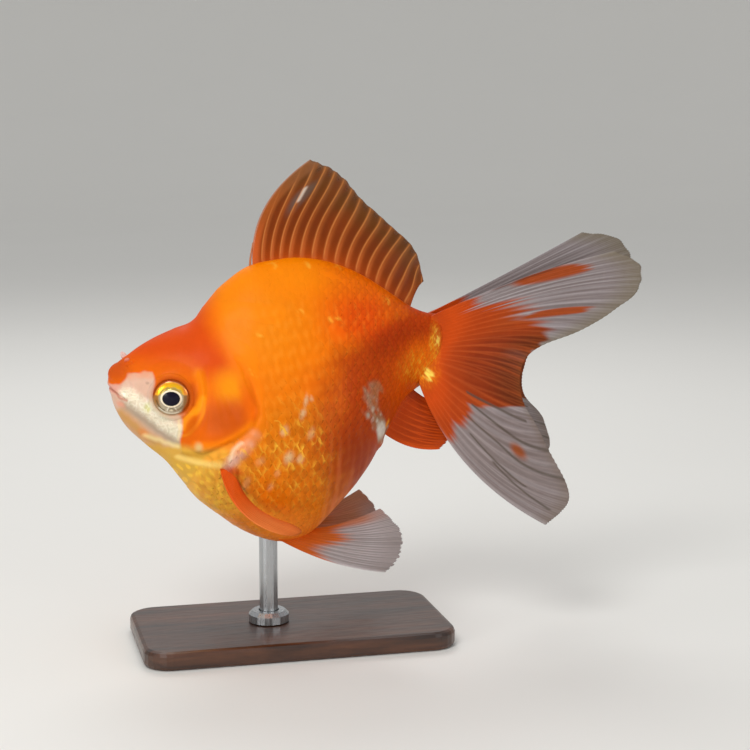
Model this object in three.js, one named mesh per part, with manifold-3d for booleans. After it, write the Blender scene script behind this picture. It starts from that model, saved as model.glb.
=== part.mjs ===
// A life-size display model of a fancy goldfish of the ryukin type, swimming, on a plain stand.
//
// Millimetres, +Z up. The fish is drawn in its own frame: x runs from the tip of the snout to the
// tail, z up from the lowest point of the belly, and y = 0 is the middle plane, with the fish's
// left side at -y. The group at the end sets that frame over the middle of the stand's underside.
import * as THREE from 'three';
import { mergeVertices } from 'three/addons/utils/BufferGeometryUtils.js';
import Module from 'manifold-3d';

const wasm = await Module();
wasm.setup();

// ---- Driving dimensions -------------------------------------------------------------------

const GAP = 0.3; // between pieces that meet
const BODY_RINGS = 32; // rings of faces from snout to tail root
const RING_SIDES = 24; // faces round each ring
const FACE_CLOSENESS = 1.15; // above 1, rings lie closer together on the face
const SIDE = { left: -1, right: 1 };

const STAND = {
  centreX: 48, // middle of the base, along the fish
  baseTop: -22, // below the belly
  baseHeight: 5,
  baseLength: 84,
  baseWidth: 44,
  baseCorner: 6,
  baseBevel: 1.2,
  rodX: 42,
  rodDiameter: 5,
  rodInBody: 8, // how deep the rod sits in the belly
  collarDiameter: 11,
  collarHeight: 3,
};

const EYE = {
  centre: [15.2, 11.0, 42.6], // x, distance from the middle plane, z
  lookForward: 4, // degrees that the eye looks forward
  lookDown: 10, // and down
  ballRadius: 5.3,
  corneaRise: 2.0, // how far the front stands out past the ball's widest ring
  depth: 3.6, // how deep the ball sits behind that ring
  rimRadius: 5.9,
  rimThickness: 0.75,
  sides: 16,
};

const NOSTRIL = { x: 5.4, side: 4.1, z: 51.9, radius: 0.95, height: 1.5 };

const GILL = { plateDepth: 1.6, proud: 0.5, rings: 18, sides: 16 };

const FIN = { ray: 1.3, web: 0.85, edgeRay: 0.75, edgeWeb: 0.55 }; // thickness at root and at edge

// The body's lines, station by station. Each ring is a slanted plane from the back to the belly:
// back: x, z; belly: x, z; half width; level of the widest point, as a share of the ring's height;
// pinch of the upper half and of the lower half (0 is an ellipse, more is narrower).
const STATIONS = [
  { back: [0.0, 46.5], belly: [0.0, 46.5], half: 0.0, level: 0.5, pinch: [0.0, 0.0] }, // snout tip
  { back: [0.4, 48.9], belly: [0.5, 43.4], half: 2.2, level: 0.5, pinch: [0.0, 0.0] }, // lips
  { back: [2.2, 51.4], belly: [1.7, 38.6], half: 4.4, level: 0.5, pinch: [0.0, 0.0] }, // mouth
  { back: [6.4, 54.4], belly: [4.6, 33.4], half: 7.2, level: 0.52, pinch: [0.02, 0.02] }, // nostrils
  { back: [11.8, 57.1], belly: [9.6, 28.4], half: 9.8, level: 0.54, pinch: [0.04, 0.06] }, // eye
  { back: [17.6, 59.2], belly: [14.6, 24.0], half: 12.1, level: 0.52, pinch: [0.06, 0.1] }, // cheek
  { back: [22.2, 60.6], belly: [18.5, 18.8], half: 14.3, level: 0.48, pinch: [0.1, 0.12] }, // nape
  { back: [25.4, 63.8], belly: [22.6, 13.6], half: 16.2, level: 0.43, pinch: [0.18, 0.14] }, // hump
  { back: [30.4, 69.7], belly: [28.2, 8.8], half: 18.5, level: 0.4, pinch: [0.3, 0.14] },
  { back: [38.0, 74.9], belly: [35.6, 3.5], half: 20.8, level: 0.38, pinch: [0.38, 0.12] }, // fin
  { back: [47.4, 77.0], belly: [43.6, 0.6], half: 22.0, level: 0.37, pinch: [0.38, 0.08] }, // crown
  { back: [57.4, 76.2], belly: [51.2, 1.3], half: 21.2, level: 0.375, pinch: [0.34, 0.06] },
  { back: [66.6, 72.8], belly: [58.6, 7.6], half: 18.4, level: 0.4, pinch: [0.28, 0.06] }, // loin
  { back: [75.0, 67.5], belly: [66.4, 15.6], half: 13.6, level: 0.43, pinch: [0.16, 0.06] },
  { back: [81.6, 63.1], belly: [72.2, 24.6], half: 8.8, level: 0.47, pinch: [0.08, 0.04] }, // vent
  { back: [86.0, 61.3], belly: [78.4, 35.9], half: 5.4, level: 0.5, pinch: [0.0, 0.0] }, // stalk
  { back: [89.0, 60.9], belly: [84.4, 41.2], half: 3.6, level: 0.5, pinch: [0.0, 0.0] },
  { back: [91.2, 60.9], belly: [87.8, 42.2], half: 2.6, level: 0.5, pinch: [0.0, 0.0] }, // tail root
];

// Lines drawn on the fish's side, as x, z.
const HEAD_EDGE = [[23.4, 90], [23.6, 61], [30.8, 54.4], [34.2, 48], [35.9, 39.3], [34.4, 35.2],
  [27.5, 30.8], [23, 27.6], [20.4, 22], [18.0, 8]];
const STALK_EDGE = [[84, 90], [82, 64], [80, 54], [76.6, 38], [72.6, 24], [69, 8]];
const MOUTH_CORNER = [4.0, 42.3];
const JAW_EDGE = [[-4, 45.4], MOUTH_CORNER, [7.2, 37.5], [9.4, 30], [10, 18]];
const GILL_EDGE = [[24.6, 52.6], [28.6, 54.2], [32.2, 50.8], [34.9, 45], [35.9, 39.3], [34.4, 35.2],
  [30.8, 32.8], [26.4, 30.0], [21.6, 28.0], [18.6, 30.4], [19.4, 35.4], [22.0, 39.8], [23.2, 46]];

// Every fin is a sheet through three guide curves, root, middle and outer edge, each from the fin's
// first ray to its last. bend gives the ripple across the sheet, in mm.
const DORSAL = {
  root: [[37.2, 0, 73.2], [48, 0, 75.3], [60, 0, 73.9], [71, 0, 68.6], [81.2, 0, 61.8]],
  middle: [[41.2, 0.3, 88.6], [52, 0.2, 88.4], [63, -0.3, 84.8], [73.6, 0.2, 77.6], [83.2, 0, 67.0]],
  edge: [[54.6, 0.8, 102.6], [61.6, -0.4, 99.0], [68.0, -0.9, 92.0], [76.0, 0.2, 84.8],
    [83.2, 0.9, 77.8], [85.3, 0.4, 69.6]],
  rays: 16,
  rows: 3,
  ripple: 0.5,
};
const PECTORAL = {
  root: [[26.7, 16.4, 23.9], [30.6, 16.2, 24.6]],
  middle: [[31.0, 25.6, 14.4], [33.2, 22.4, 14.8], [34.6, 17.6, 15.2]],
  edge: [[41.2, 28.6, 8.8], [45.0, 27.0, 8.3], [46.4, 23.0, 8.6], [44.6, 19.4, 9.6]],
  rays: 6,
  rows: 4,
  ripple: 0.35,
};
const PELVIC = {
  root: [[41.6, 6.6, 3.6], [51.0, 6.4, 4.6]],
  middle: [[56.4, 10.4, -3.6], [60.6, 10.6, 1.8], [60.4, 9.4, 6.4]],
  edge: [[71.4, 14.2, -6.6], [75.2, 15.0, -1.4], [75.2, 14.4, 4.6], [70.2, 12.0, 10.6]],
  rays: 8,
  rows: 3,
  ripple: 0.45,
};
const ANAL = {
  root: [[73.4, 1.7, 29.0], [76.8, 1.4, 35.4], [81.6, 0.9, 40.8]],
  middle: [[81.0, 2.4, 24.8], [84.6, 2.0, 31.4], [86.0, 1.2, 37.6]],
  edge: [[89.2, 3.0, 23.9], [92.6, 2.8, 27.8], [92.0, 2.2, 32.4], [89.4, 1.5, 36.6]],
  rays: 5,
  rows: 3,
  ripple: 0.15,
};
// The double tail. Its two halves are carried a little differently, so each has its own guide
// curves, with true y, which run from its top edge round to its bottom edge.
const TAIL = {
  fork: 0.625, // share of the way round where the lobes part
  lobeGap: 0.006,
  rays: 14,
  rows: 5,
  ripple: 0.6,
};
const TAIL_HALF = {
  left: {
    ...TAIL,
    root: [[86.8, -1.4, 60.2], [86.2, -1.9, 51], [83.2, -2.6, 42.6]],
    middle: [[112.3, -3.4, 70.1], [116.2, -3.7, 68.2], [116.0, -4.0, 64.6], [110.4, -4.6, 57.8],
      [101.2, -5.3, 51.2], [98.4, -6.0, 45.2], [101.0, -8.8, 32.2], [100.8, -10.6, 21.8],
      [94.8, -10.2, 20.6]],
    edge: [[138.0, -6.0, 77.2], [144.6, -6.5, 73.5], [144.7, -7.2, 67.2], [130.5, -8.8, 57.3],
      [111.4, -10.0, 49.4], [109.4, -10.6, 40.3], [115.2, -13.6, 27.7], [122.0, -16.4, 10.9],
      [115.2, -16.6, 4.3]],
  },
  right: {
    ...TAIL,
    root: [[86.8, 1.4, 60.6], [86.2, 1.9, 51], [83.2, 2.6, 42.6]],
    middle: [[111.3, 5.0, 71.1], [116.4, 5.4, 69.7], [117.0, 5.8, 65.8], [111.0, 6.2, 58.6],
      [103.6, 6.8, 50.8], [101.9, 7.4, 44.2], [106.6, 10.0, 34.4], [108.0, 11.6, 28.2],
      [105.0, 11.6, 25.2]],
    edge: [[135.5, 13.0, 81.0], [146.0, 13.6, 79.0], [151.0, 14.2, 72.2], [139.6, 14.4, 57.4],
      [121.4, 13.6, 48.4], [118.3, 14.0, 36.8], [126.4, 18.0, 26.9], [129.2, 20.0, 17.8],
      [125.6, 20.0, 14.6]],
  },
};

// ---- Solids -------------------------------------------------------------------------------

function toSolid(geometry) {
  const plain = geometry.index ? geometry.toNonIndexed() : geometry.clone();
  plain.deleteAttribute('normal');
  plain.deleteAttribute('uv');
  const merged = mergeVertices(plain, 1e-4);
  return new wasm.Manifold(new wasm.Mesh({
    numProp: 3,
    vertProperties: new Float32Array(merged.attributes.position.array),
    triVerts: new Uint32Array(merged.index.array),
  }));
}

function toGeometry(solid) {
  const mesh = solid.getMesh();
  const geometry = new THREE.BufferGeometry();
  geometry.setAttribute('position', new THREE.BufferAttribute(mesh.vertProperties, 3));
  geometry.setIndex(new THREE.BufferAttribute(mesh.triVerts, 1));
  geometry.computeVertexNormals();
  return geometry;
}

function indexed(points, faces) {
  const geometry = new THREE.BufferGeometry();
  geometry.setAttribute('position', new THREE.Float32BufferAttribute(points.flat(), 3));
  geometry.setIndex(faces.flat());
  return geometry;
}

// A wall of one outline, given as x, z, that runs from y = from to y = to.
function prism(outline, from, to) {
  const shape = new THREE.Shape(outline.map(([x, z]) => new THREE.Vector2(x, z)));
  const geometry = new THREE.ExtrudeGeometry(shape, { depth: to - from, bevelEnabled: false });
  geometry.rotateX(Math.PI / 2);
  geometry.translate(0, to, 0);
  return toSolid(geometry);
}

// An outline with each corner moved outwards from its middle.
function grown(outline, by) {
  const middle = outline.reduce(([a, b], [x, z]) => [a + x / outline.length, b + z / outline.length],
    [0, 0]);
  return outline.map(([x, z]) => {
    const away = new THREE.Vector2(x - middle[0], z - middle[1]);
    away.setLength(away.length() + by);
    return [middle[0] + away.x, middle[1] + away.y];
  });
}

// Everything in front of, or behind, an edge drawn from top to bottom, moved back by shift.
function beyond(edge, farX, shift) {
  const corners = [[farX, edge[0][1]], ...edge.map(([x, z]) => [x + shift, z]),
    [farX, edge[edge.length - 1][1]]];
  return prism(corners, -60, 60);
}

// ---- Body ---------------------------------------------------------------------------------

function spline(values, place) {
  const last = values.length - 1;
  const at = Math.min(Math.floor(place), last - 1);
  const f = place - at;
  const before = at > 0 ? values[at - 1] : 2 * values[0] - values[1];
  const after = at + 2 <= last ? values[at + 2] : 2 * values[last] - values[last - 1];
  const a = values[at];
  const b = values[at + 1];
  return 0.5 * (2 * a + (b - before) * f + (2 * before - 5 * a + 4 * b - after) * f * f
    + (3 * a - before - 3 * b + after) * f * f * f);
}

const LINES = {
  backX: STATIONS.map((s) => s.back[0]),
  backZ: STATIONS.map((s) => s.back[1]),
  bellyX: STATIONS.map((s) => s.belly[0]),
  bellyZ: STATIONS.map((s) => s.belly[1]),
  half: STATIONS.map((s) => s.half),
  level: STATIONS.map((s) => s.level),
  above: STATIONS.map((s) => s.pinch[0]),
  below: STATIONS.map((s) => s.pinch[1]),
};

// A point of the body's surface, at a station's place and an angle from the back; swell moves the
// surface outwards.
function bodyPoint(place, angle, swell) {
  const at = (line) => spline(LINES[line], place);
  const back = new THREE.Vector2(at('backX'), at('backZ'));
  const belly = new THREE.Vector2(at('bellyX'), at('bellyZ'));
  const up = back.clone().sub(belly).normalize();
  back.addScaledVector(up, swell);
  belly.addScaledVector(up, -swell);
  const cos = Math.cos(angle);
  const level = at('level');
  const rise = cos > 0 ? level + (1 - level) * cos : level + level * cos;
  const pinch = cos > 0 ? at('above') : at('below');
  const y = (Math.max(at('half'), 0) + swell) * Math.sin(angle) * (1 - pinch * cos * cos);
  const middle = belly.lerp(back, rise);
  return [middle.x, y, middle.y];
}

function bodySolid(swell = 0, rings = BODY_RINGS, sides = RING_SIDES) {
  const last = STATIONS.length - 1;
  const points = [[STATIONS[0].back[0] - swell, 0, STATIONS[0].back[1]]];
  const faces = [];
  for (let ring = 1; ring <= rings; ring += 1) {
    const place = last * (ring / rings) ** FACE_CLOSENESS;
    for (let side = 0; side < sides; side += 1) {
      points.push(bodyPoint(place, 2 * Math.PI * side / sides, swell));
    }
  }
  const end = STATIONS[last];
  points.push([(end.back[0] + end.belly[0]) / 2 + swell, 0, (end.back[1] + end.belly[1]) / 2]);
  const at = (ring, side) => 1 + (ring - 1) * sides + side % sides;
  for (let side = 0; side < sides; side += 1) {
    faces.push([0, at(1, side), at(1, side + 1)]);
    for (let ring = 1; ring < rings; ring += 1) {
      faces.push([at(ring, side), at(ring + 1, side), at(ring, side + 1)]);
      faces.push([at(ring, side + 1), at(ring + 1, side), at(ring + 1, side + 1)]);
    }
    faces.push([at(rings, side), points.length - 1, at(rings, side + 1)]);
  }
  return toSolid(indexed(points, faces));
}

// ---- Eyes and nostrils --------------------------------------------------------------------

// A turned shape, drawn as radius and height along the axis, set at the eye and facing out.
function atEye(profile, segments, sign) {
  const geometry = new THREE.LatheGeometry(profile.map(([r, h]) => new THREE.Vector2(r, h)), segments);
  const yaw = THREE.MathUtils.degToRad(EYE.lookForward);
  const pitch = THREE.MathUtils.degToRad(EYE.lookDown);
  const outward = new THREE.Vector3(-Math.sin(yaw), sign * Math.cos(yaw) * Math.cos(pitch),
    -Math.sin(pitch));
  const turn = new THREE.Quaternion().setFromUnitVectors(new THREE.Vector3(0, 1, 0),
    outward.normalize());
  geometry.applyQuaternion(turn);
  geometry.translate(EYE.centre[0], sign * EYE.centre[1], EYE.centre[2]);
  return toSolid(geometry);
}

// The ball, seen from the side: flattened behind, domed in front.
function ballProfile(swell) {
  const steps = 6;
  const radius = EYE.ballRadius + swell;
  const profile = [];
  for (let i = 0; i <= steps; i += 1) {
    const angle = -Math.PI / 2 + Math.PI * i / steps;
    const height = angle < 0 ? EYE.depth + swell : EYE.corneaRise + swell;
    const r = i === 0 || i === steps ? 0 : radius * Math.cos(angle);
    profile.push([r, height * Math.sin(angle)]);
  }
  return profile;
}

// The soft ring of skin round the ball.
function rimProfile() {
  const steps = 6;
  const profile = [];
  for (let i = 0; i <= steps; i += 1) {
    const angle = 2 * Math.PI * i / steps;
    const out = i === steps ? 1 : Math.cos(angle);
    const up = i === steps ? 0 : Math.sin(angle);
    profile.push([EYE.rimRadius + EYE.rimThickness * out, EYE.rimThickness * up]);
  }
  return profile;
}

function nostrilFlap(sign) {
  const geometry = new THREE.SphereGeometry(NOSTRIL.radius, 8, 6);
  geometry.scale(0.6, 1, NOSTRIL.height / NOSTRIL.radius);
  geometry.rotateY(-0.4);
  geometry.translate(NOSTRIL.x, sign * NOSTRIL.side, NOSTRIL.z);
  return toSolid(geometry);
}

// ---- Fins ---------------------------------------------------------------------------------

function guide(points, sign) {
  return new THREE.CatmullRomCurve3(points.map(([x, y, z]) => new THREE.Vector3(x, sign * y, z)));
}

// A closed sheet over the part of a fin from one share of its rays to another, thicker along each
// ray than between them.
function finSolid(fin, sign, from = 0, to = 1) {
  const root = guide(fin.root, sign);
  const middle = guide(fin.middle, sign);
  const edge = guide(fin.edge, sign);
  const rays = Math.round(fin.rays * (to - from));
  const columns = 2 * rays;
  const surface = (s, t) => {
    const share = from + (to - from) * s;
    const point = root.getPoint(share).multiplyScalar((1 - t) * (1 - 2 * t));
    point.addScaledVector(middle.getPoint(share), 4 * t * (1 - t));
    point.addScaledVector(edge.getPoint(share), t * (2 * t - 1));
    point.y += fin.ripple * t * Math.sin(2 * Math.PI * (2.2 * share + 0.4 * t));
    return point;
  };
  const step = 0.01;
  const normal = (s, t) => {
    const across = surface(Math.min(s + step, 1), t).sub(surface(Math.max(s - step, 0), t));
    const along = surface(s, Math.min(t + step, 1)).sub(surface(s, Math.max(t - step, 0)));
    return across.cross(along).normalize();
  };
  const points = [];
  for (const face of [1, -1]) {
    for (let column = 0; column <= columns; column += 1) {
      for (let row = 0; row <= fin.rows; row += 1) {
        const s = column / columns;
        const t = row / fin.rows;
        const onRay = column % 2 === 0;
        const rootThickness = onRay ? FIN.ray : FIN.web;
        const edgeThickness = onRay ? FIN.edgeRay : FIN.edgeWeb;
        const thickness = THREE.MathUtils.lerp(rootThickness, edgeThickness, t);
        const point = surface(s, t).addScaledVector(normal(s, t), face * thickness / 2);
        points.push(point.toArray());
      }
    }
  }
  const layer = (columns + 1) * (fin.rows + 1);
  const at = (face, column, row) => face * layer + column * (fin.rows + 1) + row;
  const faces = [];
  const quad = (a, b, c, d) => faces.push([a, b, c], [a, c, d]);
  for (let column = 0; column < columns; column += 1) {
    for (let row = 0; row < fin.rows; row += 1) {
      quad(at(0, column, row), at(0, column + 1, row), at(0, column + 1, row + 1), at(0, column, row + 1));
      quad(at(1, column, row), at(1, column, row + 1), at(1, column + 1, row + 1), at(1, column + 1, row));
    }
    quad(at(0, column, 0), at(1, column, 0), at(1, column + 1, 0), at(0, column + 1, 0));
    quad(at(0, column, fin.rows), at(0, column + 1, fin.rows), at(1, column + 1, fin.rows),
      at(1, column, fin.rows));
  }
  for (let row = 0; row < fin.rows; row += 1) {
    quad(at(0, 0, row), at(0, 0, row + 1), at(1, 0, row + 1), at(1, 0, row));
    quad(at(0, columns, row), at(1, columns, row), at(1, columns, row + 1), at(0, columns, row + 1));
  }
  return toSolid(indexed(points, faces));
}

// ---- Stand --------------------------------------------------------------------------------

function standBase() {
  const { baseLength, baseWidth, baseCorner, baseHeight, baseBevel, baseTop, centreX } = STAND;
  const x = baseLength / 2 - baseBevel;
  const y = baseWidth / 2 - baseBevel;
  const r = baseCorner;
  const shape = new THREE.Shape();
  shape.moveTo(-x + r, -y);
  shape.lineTo(x - r, -y);
  shape.absarc(x - r, -y + r, r, -Math.PI / 2, 0);
  shape.absarc(x - r, y - r, r, 0, Math.PI / 2);
  shape.absarc(-x + r, y - r, r, Math.PI / 2, Math.PI);
  shape.absarc(-x + r, -y + r, r, Math.PI, 1.5 * Math.PI);
  const geometry = new THREE.ExtrudeGeometry(shape, {
    depth: baseHeight - 2 * baseBevel,
    bevelThickness: baseBevel,
    bevelSize: baseBevel,
    bevelSegments: 2,
    curveSegments: 3,
  });
  geometry.translate(centreX, 0, baseTop - baseHeight + baseBevel);
  return toSolid(geometry);
}

function upright(profile) {
  const geometry = new THREE.LatheGeometry(profile.map(([r, z]) => new THREE.Vector2(r, z)), 16);
  geometry.rotateX(Math.PI / 2);
  geometry.translate(STAND.rodX, 0, 0);
  return toSolid(geometry);
}

function rodSolid(swell) {
  const r = STAND.rodDiameter / 2 + swell;
  const foot = STAND.baseTop + GAP;
  const top = STAND.rodInBody + swell;
  return upright([[0, foot], [r, foot], [r, top - 0.8], [r - 0.8, top], [0, top]]);
}

function collarSolid() {
  const inner = STAND.rodDiameter / 2 + GAP;
  const outer = STAND.collarDiameter / 2;
  const foot = STAND.baseTop + GAP;
  const top = foot + STAND.collarHeight;
  return upright([[inner, foot], [outer, foot], [outer, top - 1], [outer - 1, top], [inner, top],
    [inner, foot]]);
}

// ---- Finishes -----------------------------------------------------------------------------

const FINISH = {
  skin: { color: 0xf0640f, roughness: 0.35, metalness: 0.0 },
  face: { color: 0xee5518, roughness: 0.32, metalness: 0.0 },
  gillCover: { color: 0xf57a14, roughness: 0.3, metalness: 0.1 },
  jaw: { color: 0xf0c8a0, roughness: 0.35, metalness: 0.0 },
  eye: { color: 0x16122a, roughness: 0.08, metalness: 0.0 },
  dorsal: { color: 0xc4571b, roughness: 0.45, metalness: 0.0 },
  fin: { color: 0xe8793a, roughness: 0.45, metalness: 0.0 },
  tail: { color: 0xd8c4bc, roughness: 0.45, metalness: 0.0 },
  wood: { color: 0x2b1a12, roughness: 0.4, metalness: 0.0 },
  steel: { color: 0xb8bcc0, roughness: 0.3, metalness: 1.0 },
};

const model = new THREE.Group();
model.position.set(-STAND.centreX, 0, STAND.baseHeight - STAND.baseTop);

function place(name, solid, finish) {
  const mesh = new THREE.Mesh(toGeometry(solid), new THREE.MeshStandardMaterial(FINISH[finish]));
  mesh.name = name;
  model.add(mesh);
}

// ---- The fish -----------------------------------------------------------------------------

const body = bodySolid();
const bodyAround = bodySolid(GAP);
const underPlates = bodySolid(-GILL.plateDepth, GILL.rings, GILL.sides);
const pocketFloor = bodySolid(-GILL.plateDepth - GAP, GILL.rings, GILL.sides);
const bodyProud = bodySolid(GILL.proud);

const headSpace = beyond(HEAD_EDGE, -20, 0);
const stalkSpace = beyond(STALK_EDGE, 120, 0);
const jawSpace = beyond(JAW_EDGE, -20, 0);
const aroundJaw = beyond(JAW_EDGE.map(([x, z]) => [x, z + GAP]), -20, GAP);

let head = body.intersect(headSpace).subtract(aroundJaw);
let trunk = body.subtract(beyond(HEAD_EDGE, -20, GAP)).subtract(beyond(STALK_EDGE, 120, -GAP));
const stalk = body.intersect(stalkSpace);

for (const [side, sign] of Object.entries(SIDE)) {
  const socket = atEye(ballProfile(GAP), EYE.sides, sign);
  head = head.add(atEye(rimProfile(), EYE.sides, sign)).add(nostrilFlap(sign)).subtract(socket);
  place(`eye_${side}`, atEye(ballProfile(0), EYE.sides, sign), 'eye');

  const reach = sign > 0 ? [4, 50] : [-50, -4];
  const plate = bodyProud.subtract(underPlates).intersect(prism(GILL_EDGE, ...reach));
  place(`gill_cover_${side}`, plate, 'gillCover');
  const pocket = prism(grown(GILL_EDGE, GAP), ...reach).subtract(pocketFloor);
  head = head.subtract(pocket);
  trunk = trunk.subtract(pocket);

  place(`pectoral_fin_${side}`, finSolid(PECTORAL, sign).subtract(bodyAround), 'fin');
  place(`pelvic_fin_${side}`, finSolid(PELVIC, sign).subtract(bodyAround), 'fin');
  place(`anal_fin_${side}`, finSolid(ANAL, sign).subtract(bodyAround), 'fin');
  const half = TAIL_HALF[side];
  const upper = finSolid(half, 1, 0, half.fork - half.lobeGap);
  const lower = finSolid(half, 1, half.fork + half.lobeGap, 1);
  place(`tail_upper_${side}`, upper.subtract(bodyAround), 'tail');
  place(`tail_lower_${side}`, lower.subtract(bodyAround), 'tail');
}

place('head', head, 'face');
place('lower_jaw', body.intersect(jawSpace), 'jaw');
place('trunk', trunk.subtract(rodSolid(GAP)), 'skin');
place('tail_stalk', stalk, 'skin');
place('dorsal_fin', finSolid(DORSAL, 1).subtract(bodyAround), 'dorsal');

place('stand_base', standBase(), 'wood');
place('stand_collar', collarSolid(), 'steel');
place('stand_rod', rodSolid(0), 'steel');

export default model;
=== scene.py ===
"""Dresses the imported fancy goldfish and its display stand, life size, on a plain studio floor.

Shapes are worked out in the fish's own millimetres: x runs back from the tip of the snout, y to
the fish's right, and z up from the lowest point of the belly. in_frame() turns them into metres.
"""

import functools
import math

import bpy
import numpy as np
from bpy.props import FloatProperty, FloatVectorProperty, PointerProperty
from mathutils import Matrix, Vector


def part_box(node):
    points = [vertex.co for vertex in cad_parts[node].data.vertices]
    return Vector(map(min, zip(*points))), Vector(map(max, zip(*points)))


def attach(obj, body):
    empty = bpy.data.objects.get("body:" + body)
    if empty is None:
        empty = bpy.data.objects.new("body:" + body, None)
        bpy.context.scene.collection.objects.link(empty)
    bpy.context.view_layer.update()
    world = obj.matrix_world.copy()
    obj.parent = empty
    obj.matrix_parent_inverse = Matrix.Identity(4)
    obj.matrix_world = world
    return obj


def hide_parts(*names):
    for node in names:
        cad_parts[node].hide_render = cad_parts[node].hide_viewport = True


bl_info = {
    "name": "Fancy goldfish display model",
    "version": (1, 0, 0),
    "blender": (4, 5, 0),
    "location": "3D View > Sidebar > Goldfish",
    "description": "Skin, scales, eyes, fins, stand and studio of a life-size fancy goldfish",
    "category": "Object",
}

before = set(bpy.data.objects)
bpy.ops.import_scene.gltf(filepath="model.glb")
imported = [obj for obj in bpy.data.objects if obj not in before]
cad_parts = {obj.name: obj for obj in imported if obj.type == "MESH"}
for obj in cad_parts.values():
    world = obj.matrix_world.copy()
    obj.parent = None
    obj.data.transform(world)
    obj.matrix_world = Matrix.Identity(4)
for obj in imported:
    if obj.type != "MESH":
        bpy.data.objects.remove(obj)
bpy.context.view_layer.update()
MM = 0.001
BASE_BELOW_BELLY = 22.0
ORIGIN = np.array([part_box("head")[0].x, 0.0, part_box("stand_base")[1].z + BASE_BELOW_BELLY * MM])
SIDES = {"left": -1.0, "right": 1.0}


# ---- Shapes of the fish, in its own millimetres --------------------------------------------

# Back x, z; belly x, z; half width; height of the widest line; pinch above and below it.
STATIONS = np.array([
    [0.0, 46.5, 0.0, 46.5, 0.0, 0.50, 0.00, 0.00],
    [0.4, 48.9, 0.5, 43.4, 2.2, 0.50, 0.00, 0.00],
    [2.2, 51.4, 1.7, 38.6, 4.4, 0.50, 0.00, 0.00],
    [6.4, 54.4, 4.6, 33.4, 7.2, 0.52, 0.02, 0.02],
    [11.8, 57.1, 9.6, 28.4, 9.8, 0.54, 0.04, 0.06],
    [17.6, 59.2, 14.6, 24.0, 12.1, 0.52, 0.06, 0.10],
    [22.2, 60.6, 18.5, 18.8, 14.3, 0.48, 0.10, 0.12],
    [25.4, 63.8, 22.6, 13.6, 16.2, 0.43, 0.18, 0.14],
    [30.4, 69.7, 28.2, 8.8, 18.5, 0.40, 0.30, 0.14],
    [38.0, 74.9, 35.6, 3.5, 20.8, 0.38, 0.38, 0.12],
    [47.4, 77.0, 43.6, 0.6, 22.0, 0.37, 0.38, 0.08],
    [57.4, 76.2, 51.2, 1.3, 21.2, 0.375, 0.34, 0.06],
    [66.6, 72.8, 58.6, 7.6, 18.4, 0.40, 0.28, 0.06],
    [75.0, 67.5, 66.4, 15.6, 13.6, 0.43, 0.16, 0.06],
    [81.6, 63.1, 72.2, 24.6, 8.8, 0.47, 0.08, 0.04],
    [86.0, 61.3, 78.4, 35.9, 5.4, 0.50, 0.00, 0.00],
    [89.0, 60.9, 84.4, 41.2, 3.6, 0.50, 0.00, 0.00],
    [91.2, 60.9, 87.8, 42.2, 2.6, 0.50, 0.00, 0.00],
])
HEAD_EDGE = [[23.4, 90], [23.6, 61], [30.8, 54.4], [34.2, 48], [35.9, 39.3], [34.4, 35.2],
             [27.5, 30.8], [23, 27.6], [20.4, 22], [18, 8], [18, -10]]
GILL_EDGE = [[24.6, 52.6], [28.6, 54.2], [32.2, 50.8], [34.9, 45], [35.9, 39.3], [34.4, 35.2],
             [30.8, 32.8], [26.4, 30], [21.6, 28], [18.6, 30.4], [19.4, 35.4], [22, 39.8],
             [23.2, 46]]
GILL_REAR = [[29.2, 54.6], [32.0, 51.4], [33.8, 46.6], [35.4, 42], [35.6, 38.2], [34.0, 35],
             [30.8, 32.6], [26.6, 30.3], [22.4, 28.4], [19.6, 28.6]]
MOUTH = {"front": 44.4, "slope": -0.73, "corner": 4.1}
EYE = {"centre": (15.2, 11.0, 42.6), "forward": 12.0, "down": 6.0}
NOSTRIL = (5.0, 51.2)

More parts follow.
